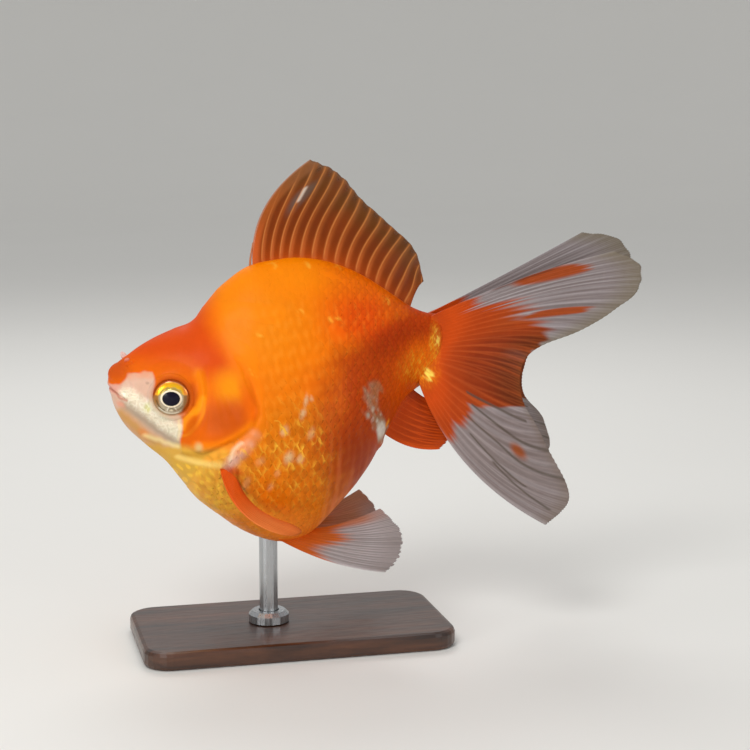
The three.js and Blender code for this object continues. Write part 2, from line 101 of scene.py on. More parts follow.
FINS = {
    "dorsal_fin": {
        "root": [[38.8, 0, 73.2], [48, 0, 75.3], [60, 0, 73.9], [71, 0, 68.6], [81.2, 0, 61.8]],
        "middle": [[41.6, 0.3, 89.4], [52, 0.2, 88.4], [63, -0.3, 84.8], [73.6, 0.2, 77.6],
                   [83.2, 0, 67]],
        "edge": [[54.6, 0.8, 102.6], [61.6, -0.4, 99], [68, -0.9, 92], [76, 0.2, 84.8],
                 [83.2, 0.9, 77.8], [85.3, 0.4, 69.6]],
        "ripple": 0.5,
    },
    "pectoral_fin": {
        "root": [[26.7, 16.4, 23.9], [30.6, 16.2, 24.6]],
        "middle": [[31, 25.6, 14.4], [33.2, 22.4, 14.8], [34.6, 17.6, 15.2]],
        "edge": [[41.2, 28.6, 8.8], [45, 27, 8.3], [46.4, 23, 8.6], [44.6, 19.4, 9.6]],
        "ripple": 0.35,
    },
    "pelvic_fin": {
        "root": [[41.6, 6.6, 3.6], [51, 6.4, 4.6]],
        "middle": [[56.4, 10.4, -3.6], [60.6, 10.6, 1.8], [60.4, 9.4, 6.4]],
        "edge": [[71.4, 14.2, -6.6], [75.2, 15, -1.4], [75.2, 14.4, 4.6], [70.2, 12, 10.6]],
        "ripple": 0.45,
    },
    "anal_fin": {
        "root": [[73.4, 1.7, 29], [76.8, 1.4, 35.4], [81.6, 0.9, 40.8]],
        "middle": [[81, 2.4, 24.8], [84.6, 2, 31.4], [86, 1.2, 37.6]],
        "edge": [[89.2, 3, 23.9], [92.6, 2.8, 27.8], [92, 2.2, 32.4], [89.4, 1.5, 36.6]],
        "ripple": 0.15,
    },
    "tail_left": {
        "root": [[86.8, -1.4, 60.2], [86.2, -1.9, 51], [83.2, -2.6, 42.6]],
        "middle": [[112.3, -3.4, 70.1], [116.2, -3.7, 68.2], [116, -4, 64.6],
                   [110.4, -4.6, 57.8], [101.2, -5.3, 51.2], [98.4, -6, 45.2],
                   [101, -8.8, 32.2], [100.8, -10.6, 21.8], [94.8, -10.2, 20.6]],
        "edge": [[138, -6, 77.2], [144.6, -6.5, 73.5], [144.7, -7.2, 67.2], [130.5, -8.8, 57.3],
                 [111.4, -10, 49.4], [109.4, -10.6, 40.3], [115.2, -13.6, 27.7],
                 [122, -16.4, 10.9], [115.2, -16.6, 4.3]],
        "ripple": 0.6,
    },
    "tail_right": {
        "root": [[86.8, 1.4, 60.6], [86.2, 1.9, 51], [83.2, 2.6, 42.6]],
        "middle": [[111.3, 5, 71.1], [116.4, 5.4, 69.7], [117, 5.8, 65.8], [111, 6.2, 58.6],
                   [103.6, 6.8, 50.8], [101.9, 7.4, 44.2], [106.6, 10, 34.4],
                   [108, 11.6, 28.2], [105, 11.6, 25.2]],
        "edge": [[135.5, 13, 81], [146, 13.6, 79], [151, 14.2, 72.2], [139.6, 14.4, 57.4],
                 [121.4, 13.6, 48.4], [118.3, 14, 36.8], [126.4, 18, 26.9], [129.2, 20, 17.8],
                 [125.6, 20, 14.6]],
        "ripple": 0.6,
    },
}


# ---- Settings a user would change -----------------------------------------------------------

def linear(code):
    """A colour written as six hex digits, in the linear values that Blender works in."""
    values = [int(code[i:i + 2], 16) / 255 for i in (0, 2, 4)]
    return tuple(v / 12.92 if v <= 0.04045 else ((v + 0.055) / 1.055) ** 2.4 for v in values)


def colour(name, code, description):
    """A setting that holds a colour."""
    return FloatVectorProperty(name=name, description=description, subtype="COLOR", size=3,
                               min=0, max=1, default=linear(code))


def length(name, millimetres, description):
    """A setting that holds a length, kept in metres."""
    return FloatProperty(name=name, description=description, subtype="DISTANCE", unit="LENGTH",
                         min=0, precision=5, default=millimetres * MM)


class GoldfishSizes(bpy.types.PropertyGroup):
    """Sizes of skin, scales, fin rays and eyes"""
    coat_depth: length("Coat depth", 0.30, "How far the skin lies inside the solids")
    head_depth: length("Head depth", 0.06, "How far the bare skin of the head lies inside them")
    scale_height: length("Scale height", 3.1, "Height of one scale, from row to row")
    scale_length: length("Scale length", 2.5, "Distance from a scale to the next in its row")
    scale_thickness: length("Scale thickness", 0.055, "Thickness of a scale at its rim")
    scale_lift: length("Scale lift", 0.26, "Rise of a scale from its root to its free edge")
    ray_thickness: length("Ray thickness", 0.50, "Thickness of a fin ray at its root")
    web_thickness: length("Web thickness", 0.16, "Thickness of the web between two rays")
    eye_radius: length("Eye radius", 4.75, "Radius of the eyeball where the skin meets it")


class GoldfishColours(bpy.types.PropertyGroup):
    """Main colours of the fish"""
    body: colour("Body", "F87800", "Orange of the flank")
    head: colour("Head", "D64A05", "Red-orange of the head's top")
    cheek: colour("Cheek", "E46400", "Bright orange of the gill cover")
    # The hump's yellow-orange is partly its own colour and partly painted light.
    hump: colour("Hump", "FC8600", "Yellow-orange of the hump")
    # The rear flank's rusty red is partly the fish's colour and partly painted shade.
    flank: colour("Rear flank", "B23600", "Rust red of the rear flank")
    belly: colour("Belly", "DA7406", "Golden orange of the belly")
    throat: colour("Throat", "F0B240", "Golden yellow of the throat and chest")
    white: colour("White", "DCB29A", "Pinkish white of the cheek and the spots")
    silver: colour("Silver", "F0E2C6", "Shining cream of the cheek plates")
    lavender: colour("Lavender", "A6957F", "Grey-lavender of the lower cheek")
    fin: colour("Fin", "C8480C", "Orange of the fins")
    web: colour("Web", "702E04", "Dark red-brown of the dorsal web")
    tail_white: colour("Tail white", "867A78", "Milky grey-lavender of the tail")
    # fold: painted shadow of the tail's folds, drawn as dark lines between its rays
    fold: colour("Fold", "54483E", "Dark lines between the tail's rays")
    pupil: colour("Pupil", "120C20", "Navy black of the pupil")
    iris_gold: colour("Iris gold", "FAAE1A", "Yellow gold of the iris above")
    iris_silver: colour("Iris silver", "A8987C", "Silver grey of the iris below")
    iris_ring: colour("Iris ring", "F6E6C8", "Cream line round the pupil")


class GoldfishStand(bpy.types.PropertyGroup):
    """Colours of the stand, and the studio's camera and light"""
    wood_dark: colour("Dark grain", "2A160C", "Dark lines of the base's wood")
    wood_light: colour("Light grain", "5A3520", "Light lines of the base's wood")
    steel: colour("Steel", "B4B6B8", "Brushed steel of the rod and collar")
    floor: colour("Floor", "E9E7E2", "Pale floor of the studio")
    lens: FloatProperty(name="Lens", description="Focal length of the camera, in millimetres",
                        min=20, max=200, default=85)
    distance: length("Camera distance", 478.1, "Distance from the camera to its aim")
    key_power: FloatProperty(name="Key light", description="Strength of the key light in watts",
                             unit="POWER", min=0, default=2.1)


def settings():
    """The sizes, the colours and the settings of stand and studio."""
    scene = bpy.context.scene
    return scene.goldfish_sizes, scene.goldfish_colours, scene.goldfish_stand


# ---- Curves, masks and noise ----------------------------------------------------------------

OUTLINE_POINTS = 60
PATH_POINTS = 24
WAVE_COUNT = 7
FAR = 1e9  # farther than anything on the fish


def smooth(value, low, high):
    """0 below low, 1 above high and an even S between."""
    f = np.clip((value - low) / (high - low), 0, 1)
    return f * f * (3 - 2 * f)


def along(points, share):
    """Points of the smooth curve through the given ones, at shares of its points' count."""
    p = np.asarray(points, float)
    last = len(p) - 1
    p = np.vstack([2 * p[0] - p[1], p, 2 * p[-1] - p[-2]])
    at = np.clip(np.floor(share * last).astype(int), 0, last - 1)
    f = (share * last - at)[..., None]
    steps = np.sum((p[1:] - p[:-1]) ** 2, axis=1) ** 0.25
    a, b, c, d = p[at], p[at + 1], p[at + 2], p[at + 3]
    before, here, after = (steps[at + k][..., None] for k in range(3))
    leave = ((b - a) / before - (c - a) / (before + here) + (c - b) / here) * here
    arrive = ((c - b) / here - (d - b) / (here + after) + (d - c) / after) * here
    return (b + leave * f + (3 * (c - b) - 2 * leave - arrive) * f ** 2
            + (2 * (b - c) + leave + arrive) * f ** 3)


def path_distance(x, z, points, steps=PATH_POINTS):
    """Distance in the side view to a smooth path, and the share of the path that is nearest."""
    path = along(np.asarray(points, float), np.linspace(0, 1, steps))
    best = np.full(x.shape, FAR)
    share = np.zeros(x.shape)
    for i in range(steps - 1):
        ax, az = path[i]
        dx, dz = path[i + 1] - path[i]
        f = np.clip(((x - ax) * dx + (z - az) * dz) / (dx * dx + dz * dz), 0, 1)
        d = np.hypot(x - ax - f * dx, z - az - f * dz)
        nearer = d < best
        best = np.where(nearer, d, best)
        share = np.where(nearer, (i + f) / (steps - 1), share)
    return best, share


def edge_distance(x, z, outline):
    """Distance to a closed outline, positive inside."""
    best = np.full(x.shape, FAR)
    inside = np.zeros(x.shape, bool)
    corners = np.asarray(outline, float)
    for (ax, az), (bx, bz) in zip(corners, np.roll(corners, -1, axis=0)):
        dx, dz = bx - ax, bz - az
        f = np.clip(((x - ax) * dx + (z - az) * dz) / (dx * dx + dz * dz), 0, 1)
        best = np.minimum(best, np.hypot(x - ax - f * dx, z - az - f * dz))
        if az != bz:
            crosses = (az > z) != (bz > z)
            inside ^= crosses & (x < ax + (z - az) * dx / dz)
    return np.where(inside, best, -best)


def rounded(outline):
    """A smooth closed outline through the given corners, as points close together."""
    corners = list(outline)
    looped = corners[-2:] + corners + corners[:3]
    last = len(looped) - 1
    share = np.linspace(2 / last, (len(corners) + 2) / last, OUTLINE_POINTS, endpoint=False)
    return along(looped, share)


def bump(distance, width):
    """1 at no distance, falling off on both sides within about the width."""
    return np.exp(-(distance / width) ** 2)


def stroke(x, z, points, width, soft):
    """A brush stroke along a path: 1 on it and 0 beyond its width."""
    return 1 - smooth(path_distance(x, z, points)[0] / width, 1 - soft, 1 + soft)


def spot(x, z, centre, radii, tilt, soft):
    """A soft oval: 1 in its middle and 0 beyond its radii."""
    turn = math.radians(tilt)
    dx, dz = x - centre[0], z - centre[1]
    u = (dx * math.cos(turn) + dz * math.sin(turn)) / radii[0]
    v = (dz * math.cos(turn) - dx * math.sin(turn)) / radii[1]
    return 1 - smooth(np.hypot(u, v), 1 - soft, 1 + soft)


def patch(x, z, outline, soft):
    """A patch with a smooth outline and soft edges."""
    return smooth(edge_distance(x, z, rounded(outline)), -soft, soft)


def waves(x, z, size, seed):
    """Smooth noise from about -1 to 1 whose lumps are about size across."""
    draw = np.random.default_rng(seed)
    total = np.zeros(np.shape(x))
    for turn, pitch, phase in zip(draw.uniform(0, math.pi, WAVE_COUNT),
                                  draw.uniform(0.7, 1.5, WAVE_COUNT),
                                  draw.uniform(0, 2 * math.pi, WAVE_COUNT)):
        total = total + np.sin(math.pi * pitch / size
                               * (x * math.cos(turn) + z * math.sin(turn)) + phase)
    return total / math.sqrt(WAVE_COUNT)


def colour_values(tint):
    """A colour as an array of linear values, from six hex digits or from values."""
    return np.array(linear(tint) if isinstance(tint, str) else tint, float)


def painted(base, *layers):
    """Colours with layers laid on in turn, each a mask and a colour."""
    result = colour_values(base)
    for mask, tint in layers:
        mask = np.asarray(mask)[..., None]
        result = result * (1 - mask) + colour_values(tint) * mask
    return result


# ---- Meshes ---------------------------------------------------------------------------------

def in_frame(points):
    """Points in fish millimetres as metres in the shared frame."""
    return ORIGIN + np.asarray(points) * MM


def signed_volume(points, faces):
    """Six times the volume within the faces, negative where they face inwards."""
    total = 0.0
    for group in faces:
        a = points[group[:, 0]]
        for k in range(1, group.shape[1] - 1):
            b, c = points[group[:, k]], points[group[:, k + 1]]
            total += np.einsum("ij,ij->i", a, np.cross(b, c)).sum()
    return total


def mesh_object(name, points, faces, values=None):
    """A smooth-shaded object from points in fish millimetres and arrays of triangles and quads.

    values maps an attribute's name to one number or three for each point.
    """
    points = np.asarray(points, float)
    faces = [np.asarray(group) for group in faces if len(group)]
    if signed_volume(points - points.mean(0), faces) < 0:
        faces = [group[:, ::-1] for group in faces]
    mesh = bpy.data.meshes.new(name)
    mesh.vertices.add(len(points))
    mesh.vertices.foreach_set("co", in_frame(points).ravel())
    corners = np.concatenate([group.ravel() for group in faces]).astype(np.int32)
    sizes = np.concatenate([np.full(len(group), group.shape[1]) for group in faces])
    mesh.loops.add(len(corners))
    mesh.loops.foreach_set("vertex_index", corners)
    mesh.polygons.add(len(sizes))
    mesh.polygons.foreach_set("loop_start", np.concatenate([[0], np.cumsum(sizes)[:-1]]))
    for key, value in (values or {}).items():
        value = np.asarray(value, np.float32)
        kind, field = ("FLOAT_VECTOR", "vector") if value.ndim == 2 else ("FLOAT", "value")
        mesh.attributes.new(key, kind, "POINT").data.foreach_set(field, value.ravel())
    mesh.update(calc_edges=True)
    mesh.polygons.foreach_set("use_smooth", np.ones(len(sizes), bool))
    if mesh.validate(verbose=False):
        raise RuntimeError(f"{name} had faces that aren't valid")
    made = bpy.data.objects.new(name, mesh)
    bpy.context.scene.collection.objects.link(made)
    return made


def grid_quads(rows, columns, closed=False, start=0):
    """Quads of a grid of points stored row by row; closed joins the last column to the first."""
    row = np.arange(rows - 1)[:, None]
    column = np.arange(columns if closed else columns - 1)[None, :]
    after = (column + 1) % columns
    here = row * columns
    quads = np.stack(np.broadcast_arrays(here + column, here + after,
                                         here + columns + after, here + columns + column), -1)
    return quads.reshape(-1, 4) + start


def rim_indices(rows, columns):
    """The points round the rim of a grid, in order."""
    return np.concatenate([np.arange(columns), (np.arange(1, rows) + 1) * columns - 1,
                           rows * columns - 2 - np.arange(columns - 1),
                           (rows - 2 - np.arange(rows - 2)) * columns])


def capped(rings, ends):
    """Points and faces of a tube, given ring by ring, with a fan at both ends."""
    count, sides = rings.shape[:2]
    side = np.arange(sides)
    after = (side + 1) % sides
    tip = count * sides
    last = tip - sides
    fans = np.concatenate([np.stack([np.full(sides, tip), after, side], -1),
                           np.stack([np.full(sides, tip + 1), last + side, last + after], -1)])
    return (np.concatenate([rings.reshape(-1, 3), ends]),
            [grid_quads(count, sides, closed=True), fans])


def closed_sheet(top, bottom):
    """One closed shell from the two faces of a sheet, each a grid of points."""
    rows, columns = top.shape[:2]
    count = rows * columns
    points = np.concatenate([top.reshape(-1, 3), bottom.reshape(-1, 3)])
    rim = rim_indices(rows, columns)
    after = np.roll(rim, -1)
    sides = np.stack([after, rim, rim + count, after + count], -1)
    return points, [grid_quads(rows, columns), grid_quads(rows, columns, start=count)[:, ::-1],
                    sides]


def joined(parts):
    """Points and faces of several meshes as one."""
    points, faces, start = [], [], 0
    for part_points, part_faces in parts:
        flat = np.asarray(part_points).reshape(-1, 3)
        points.append(flat)
        faces.extend(group + start for group in part_faces)
        start += len(flat)
    return np.concatenate(points), faces


def grid_normals(points, closed=False):
    """Unit normals of a grid of points."""
    down = np.gradient(points, axis=0)
    if closed:
        across = np.roll(points, -1, 1) - np.roll(points, 1, 1)
    else:
        across = np.gradient(points, axis=1)
    normals = np.cross(down, across)
    return normals / np.maximum(np.linalg.norm(normals, axis=-1, keepdims=True), 1e-9)


def turned(profile, sides, centre, axis, up):
    """Points and quads of a profile of radius and height turned round an axis."""
    profile = np.asarray(profile, float)
    axis = np.asarray(axis, float)
    up = np.asarray(up, float) - np.dot(up, axis) * axis
    up /= np.linalg.norm(up)
    out = np.cross(up, axis)
    angle = np.linspace(0, 2 * math.pi, sides, endpoint=False)
    ring = np.cos(angle)[:, None] * out + np.sin(angle)[:, None] * up
    points = (np.asarray(centre) + profile[:, None, 0:1] * ring[None]
              + profile[:, None, 1:2] * axis)
    return points, grid_quads(len(profile), sides, closed=True)


# ---- The body's surface ---------------------------------------------------------------------

def station_values(place):
    """The values of STATIONS between its rows, on smooth curves through them."""
    last = len(STATIONS) - 1
    at = np.minimum(np.floor(place).astype(int), last - 1)
    f = (place - at)[:, None]
    held = np.vstack([2 * STATIONS[0] - STATIONS[1], STATIONS,
                      2 * STATIONS[-1] - STATIONS[-2]])
    before, a, b, after = held[at], held[at + 1], held[at + 2], held[at + 3]
    return 0.5 * (2 * a + (b - before) * f + (2 * before - 5 * a + 4 * b - after) * f ** 2
                  + (3 * a - before - 3 * b + after) * f ** 3)


def body_points(place, angle):
    """The body as the solids have it: a grid of points by place from the snout and by angle
    from the back, where the right side comes first."""
    values = station_values(place)
    back, belly = values[:, None, 0:2], values[:, None, 2:4]
    half, level, above, below = (values[:, k:k + 1] for k in range(4, 8))
    cos = np.cos(angle)[None, :]
    rise = np.where(cos > 0, level + (1 - level) * cos, level + level * cos)
    pinch = np.where(cos > 0, above, below)
    y = np.maximum(half, 0) * np.sin(angle)[None, :] * (1 - pinch * cos ** 2)
    middle = belly + (back - belly) * rise[..., None]
    return np.stack([middle[..., 0], y, middle[..., 1]], -1)


def even_places(rings):
    """Places of rings along the body, close together at the lips and wide at the flank."""
    place = np.linspace(0, len(STATIONS) - 1, 3000)
    place[0] = 0.002  # just off the tip, where a ring has no size
    points = body_points(place, np.linspace(0, math.pi, 9))
    step = np.linalg.norm(np.diff(points, axis=0), axis=-1).mean(1)
    x = points[:, 4, 0]
    gap = 0.14 + 0.12 * smooth(x, 3, 8) + 0.34 * smooth(x, 22, 38)
    count = np.concatenate([[0], np.cumsum(step / gap[1:])])
    return np.interp(np.linspace(0, count[-1], rings), count, place)


def eye_axes(sign):
    """The eye's centre, outward axis and upward direction."""
    yaw, pitch = math.radians(EYE["forward"]), math.radians(EYE["down"])
    axis = np.array([-math.sin(yaw), sign * math.cos(yaw) * math.cos(pitch), -math.sin(pitch)])
    axis /= np.linalg.norm(axis)
    centre = np.array(EYE["centre"]) * (1, sign, 1)
    up = np.array([0, 0, 1.0]) - axis[2] * axis
    return centre, axis, up / np.linalg.norm(up)


def round_eye(points, sign):
    """Height along the eye's axis, distance from it and angle round it, of any points."""
    centre, axis, up = eye_axes(sign)
    away = points - centre
    height = away @ axis
    rear = np.cross(up, axis)
    rear = rear * np.sign(rear[0])
    across, above = away @ rear, away @ up
    return height, np.hypot(across, above), np.arctan2(above, across)


def x_at(path, z):
    """x of a path that runs down the side view, at heights z."""
    path = np.asarray(path, float)[::-1]
    return np.interp(z, path[:, 1], path[:, 0])


def head_edge_x(z):
    """x of the head's rear edge, where the scales begin."""
    return x_at(HEAD_EDGE, z)


SOCKET = {"level": 0.55, "kept": 0.34, "depth": 2.6}  # kept: share of the skin's own height
BRIDGE = ([0, 2, 5, 9, 13, 18, 23], [0.1, 1.0, 1.1, 0.75, 0.5, 0.2, 0])  # x, depth
NAPE_RISE = ([23.6, 25.6, 30, 35, 44], [0, 0.5, 0.45, 0.35, 0])  # x, height
NOSTRIL_HOLES = ((-0.6, 0.5), (0.7, 0.45))  # place from the nostril's middle, radius

RIDGES = (  # path in the side view, height, width
    ([[22.4, 48.6], [22.7, 43.6], [21.3, 39.6], [18.9, 38.2], [17.2, 36.8]], 0.34, 0.75),
    ([[21.2, 38.4], [20.7, 36.2], [18.8, 33.7], [16.6, 32.2]], 0.30, 0.65),
    ([[34.6, 33.4], [31.8, 28.8], [29.0, 26.0]], 0.42, 1.3),
    ([[24.2, 49.6], [23.9, 44], [22.9, 37.5], [20.4, 31.4]], -0.18, 0.9),
    ([[4.3, 41.8], [5.0, 43.8], [4.7, 46.4], [3.2, 48.8]], -0.14, 0.45),
    ([[4.2, 41.4], [5.6, 38.6], [7.4, 35.6], [9.6, 32.4]], -0.16, 0.5),
    ([[18.6, 29.4], [22, 26.8], [26, 28.6], [31, 31.4]], -0.20, 0.5),
    ([[17.6, 28.6], [20.6, 25.0], [25, 26.2]], 0.16, 0.7),
)


def mouth_relief(x, z):
    """How far the lips rise round the slit between them, with a groove above."""
    to_slit = z - (MOUTH["front"] + MOUTH["slope"] * x)
    open_part = 1 - smooth(x, MOUTH["corner"] - 0.9, MOUTH["corner"] + 0.1)
    lips = 0.26 * bump(to_slit - 0.8, 0.6) + 0.20 * bump(to_slit + 0.8, 0.6)
    groove = 0.12 * bump(to_slit - 2.3, 0.5) * (1 - smooth(x, 1.5, 3.4))
    return open_part * (lips - 0.34 * bump(to_slit, 0.16)) - groove


def gill_relief(x, z):
    """How far the gill cover's rear edge stands out, with the gap behind it and ribs on it."""
    inside = edge_distance(x, z, rounded(GILL_EDGE)) > 0
    away, share = path_distance(x, z, GILL_REAR, steps=60)
    plate = inside * 0.42 * smooth(away, -0.2, 0.8) * (1 - smooth(away, 2.2, 7.5))
    gap = ~inside * 0.34 * (1 - smooth(away, 0.25, 1.5))
    fan = np.arctan2(z - 51, x - 24.5)
    ribs = inside * 0.012 * np.sin(fan * 34) * smooth(away, 0.5, 2.5)
    ends = smooth(share, 0.0, 0.30) * (1 - smooth(share, 0.90, 1.0))
    return ends * (plate - gap - 0.16 * bump(away, 0.35) + ribs)


def nostril_relief(x, z):
    """How far the two holes of the nostril sink and their rims rise."""
    rise = 0
    for shift, radius in NOSTRIL_HOLES:
        away = np.hypot(x - NOSTRIL[0] - shift, z - NOSTRIL[1] - 0.6 * shift)
        rise = rise + 0.06 * bump(away - radius * 1.5, 0.3) - 0.26 * bump(away, radius)
    return rise


def with_sockets(points):
    """The points with the skin levelled round each eye and hollowed out under it."""
    for sign in SIDES.values():
        height, radius, _ = round_eye(points, sign)
        near = (radius < 10) & (points[..., 1] * sign > 3)
        level = SOCKET["level"] + SOCKET["kept"] * (height - SOCKET["level"])
        now = height + near * (1 - smooth(radius, 5.0, 9.4)) * (level - height)
        hollow = near * (1 - smooth(radius, 4.3, 4.9))
        now = now - hollow * (now + SOCKET["depth"])
        points = points + (now - height)[..., None] * eye_axes(sign)[1]
    return points


def relief(points, normals, head_depth, coat_depth):
    """Moves the smooth body's points to the living form: lips, nostrils, sockets and gills."""
    x, y, z = points[..., 0], points[..., 1], points[..., 2]
    side_on = smooth(np.abs(y), 1.0, 3.0)
    behind = smooth(x - head_edge_x(z), -1.6, 9)
    inset = (head_depth + (coat_depth - head_depth) * behind) / MM
    on_sides = gill_relief(x, z) + nostril_relief(x, z)
    for path, height, width in RIDGES:
        on_sides = on_sides + height * bump(path_distance(x, z, path)[0], width)
    fin_root = 0.55 * spot(x, z, (28.4, 24.4), (2.6, 2.0), 0, 0.8)
    jaw_dimple = 0.30 * spot(x, z, (18.9, 35.9), (1.6, 1.3), 30, 0.8)
    vent = 0.5 * spot(x, z, (72.4, 26.4), (1.3, 1.6), 40, 0.7)
    rise = (mouth_relief(x, z) - inset - np.interp(x, *BRIDGE) * smooth(z, 46.5, 52)
            + np.interp(x, *NAPE_RISE) * smooth(z, 52, 66) + side_on * (on_sides + fin_root)
            - jaw_dimple + vent + 0.07 * waves(x, z + 0.4 * y, 7, 3) * smooth(x, 4, 20))
    return with_sockets(points + normals * rise[..., None])


BODY_SIDES = 400
BODY_RINGS = 330


def outward_normals(points):
    """Normals of the closed body, pointing out of it."""
    normals = grid_normals(points, closed=True)
    right_side = normals[:, BODY_SIDES // 4, 1]
    return normals if np.sum(right_side) > 0 else -normals


@functools.cache
def made_body(head_depth, coat_depth):
    """The finished surface of the body: places, points and normals."""
    place = even_places(BODY_RINGS)
    angle = np.linspace(0, 2 * math.pi, BODY_SIDES, endpoint=False)
    plain = body_points(place, angle)
    points = relief(plain, outward_normals(plain), head_depth, coat_depth)
    return place, points, outward_normals(points)


def body_surface():
    """Places, points and normals of the body for the present settings, worked out once."""
    sizes = settings()[0]
    return made_body(sizes.head_depth, sizes.coat_depth)


# ---- Markings, with painted light and shade, shared by skin and scales ----------------------

# The first path gives the front of the rusty red, partly painted shade of the rear flank, and NAPE
# the rear of the head's own, from the back down.
# CHEEK and VENT outline the white patches of each side. The other paths are brush strokes.
RUST_AND_SHADE = [[78, 80], [78, 66], [75, 61], [61, 56], [56.5, 51], [53, 46], [54, 41], [53, 36],
        [51.5, 31], [55, 26], [59, 20], [61, 16], [62, 10]]
NAPE = [[26, 61], [27.5, 57], [29, 54], [31, 51], [33.4, 48], [35, 44]]
CHEEK = {
    -1.0: [[-2, 46.3], [0.8, 45.2], [2.4, 45.6], [4.0, 46.6], [5.0, 48.1], [7.6, 48.6],
           [10.4, 48.7], [11.0, 46.4], [11.0, 42.4], [12.6, 39.6], [16.2, 38.6], [17.8, 37.0],
           [17.6, 34.4], [17.3, 31.6], [17.5, 28.0], [15.4, 26.4], [11, 23], [4, 23], [-4, 34]],
    1.0: [[-2, 46.0], [0.8, 44.8], [2.6, 45.2], [4.6, 45.4], [7.0, 44.2], [9.2, 42.0],
          [11.4, 38.8], [14.0, 37.0], [15.0, 33.4], [14.6, 29.4], [13.4, 26.6], [10, 23],
          [4, 23], [-4, 34]],
}
VENT = {
    -1.0: [[65.0, 44.2], [67.2, 45.0], [69.8, 44.6], [69.6, 41.6], [68.6, 39.2], [69.2, 37.0],
           [71.8, 33.6], [73.8, 30.8], [73.6, 27.4], [71.4, 27.4], [69.2, 31.0], [66.6, 35.2],
           [65.2, 38.6], [64.6, 41.6]],
    1.0: [[66.6, 40.8], [69.4, 40.4], [70.4, 36.6], [73.0, 32.4], [73.6, 27.4], [70.6, 27.0],
          [67.6, 31.2], [65.8, 36.6]],
}
PALE_SCALES = {  # place, half width, half height and strength
    -1.0: ((42.5, 34.4, 0.9, 1.1, 0.8), (43.7, 27.5, 1.0, 1.4, 0.85), (46.3, 27.1, 0.8, 0.9, 0.7),
           (49.3, 33.4, 0.8, 1.2, 0.5), (48.3, 41.9, 0.45, 1.2, 0.75), (49.7, 42.3, 0.5, 0.7, 0.6),
           (47.5, 38.7, 0.6, 1.2, 0.8), (36.2, 26.6, 0.9, 1.1, 0.3), (33.3, 20.4, 0.7, 1.6, 0.35),
           (39.0, 19.8, 0.6, 0.9, 0.35), (40.7, 23.4, 0.7, 0.9, 0.3)),
    1.0: ((44.4, 36.2, 0.9, 1.2, 0.8), (46.8, 30.4, 0.9, 1.3, 0.8), (41.6, 25.8, 0.8, 1.0, 0.6),
          (52.2, 33.0, 0.7, 1.2, 0.5), (50.2, 47.0, 0.6, 1.2, 0.7)),
}
# Places of painted highlights: small bright yellow glints on the body.
GLINTS = ((43.7, 75.2), (52.9, 75.1), (60.8, 74.5), (49.2, 64), (37.8, 58.4),
          (35.3, 49.1), (56.5, 61.7), (58.9, 61.8), (73.6, 65.4), (36.8, 31.0))
SILVER_BAND = [[4.5, 43.2], [9.0, 39.4], [13.0, 36.0], [17.0, 33.4]]
GREY_BAND = [[4.4, 40.2], [8.6, 36.8], [13.4, 33.0], [17.4, 30.0]]


def chest(x, z):
    """1 on the golden chest between the gill covers and the belly."""
    return (1 - smooth(x + 0.35 * z, 35, 45)) * (1 - smooth(z, 27, 35))


def trunk_tint(x, z, wobble, fine):
    """The orange of trunk and tail stalk, rusty red behind, partly painted shade, and golden on
    belly and chest.
    """
    colours = settings()[1]
    rust_and_shade = smooth(x - x_at(RUST_AND_SHADE, z) + 1.4 * wobble, -9, 9)
    columns = smooth(x, 50, 56) * (1 - smooth(z, 26, 40)) * waves(x * 3.2, z * 0.25, 5, 28)
    weave = waves(x * 1.8, z * 0.7, 1.5, 71) * smooth(x, 34, 42) * (1 - smooth(z, 62, 70))
    under_sail = (smooth(x, 50, 64) * (1 - 0.7 * smooth(x, 68, 77)) * smooth(z, 53, 60)
                  * (1 - 0.5 * smooth(z, 63, 69)))
    keel = (1 - smooth(z + 0.25 * np.abs(x - 40), 9, 17)) * smooth(x, 25, 32)
    return painted(
        colours.body,
        # partly painted light: the hump is yellower at its front and along the top, where the light
        # falls
        (spot(x, z, (37, 62), (13, 13), 0, 0.7), "F58400"),  # front of the hump
        (smooth(z, 65, 72) * (1 - smooth(x, 64, 72)), colours.hump),
        (0.9 * spot(x, z, (44, 25), (17, 17), 0, 0.6), colours.belly),
        (0.6 * spot(x, z, (52, 27), (7, 12), -10, 0.8), "C8640C"),  # belly, further back
        # rusty red of the rear, partly painted shade, deepest before the vent
        (0.9 * rust_and_shade, colours.flank),
        (0.5 * rust_and_shade * spot(x, z, (63, 27), (8, 9), 0, 0.8), "922C00"),  # before the vent
        (0.85 * under_sail, "EA4800"),
        (0.8 * spot(x, z, (76.5, 54), (7, 4.5), 0, 0.9), "A22A00"),  # before the stalk
        (0.4 * spot(x, z, (61.5, 23), (6, 8), 0, 0.9), "963400"),  # over the pelvic fins
        (0.85 * spot(x, z, (80, 44.5), (8, 9), 0, 0.6), "DC5400"),  # stalk, below
        (0.7 * spot(x, z, (84, 50), (4.5, 4.5), 0, 0.8), "F86E00"),  # stalk, middle
        (0.4 * spot(x, z, (83, 58.5), (6, 3), 0, 0.8), "A63200"),  # stalk, above
        (0.85 * smooth(x, 86.0, 89.0) * (1 - smooth(z, 53, 58)), "D0500C"),  # root of the tail
        (0.90 * chest(x, z) * (0.88 + 0.12 * fine), colours.throat),
        (0.35 * chest(x, z) * bump(waves(x, z, 2.2, 23), 0.35), "B87C1C"),
        (0.85 * keel, "F8842A"),
        (0.18 * np.clip(weave, 0, 1) * (1 - 0.85 * rust_and_shade), "FFA030"),
        (0.07 * np.clip(-weave, 0, 1), "B84000"),
        (0.22 * np.clip(columns, 0, 1), "E07A48"),
        (0.22 * np.clip(-columns, 0, 1), "8E2C00"))


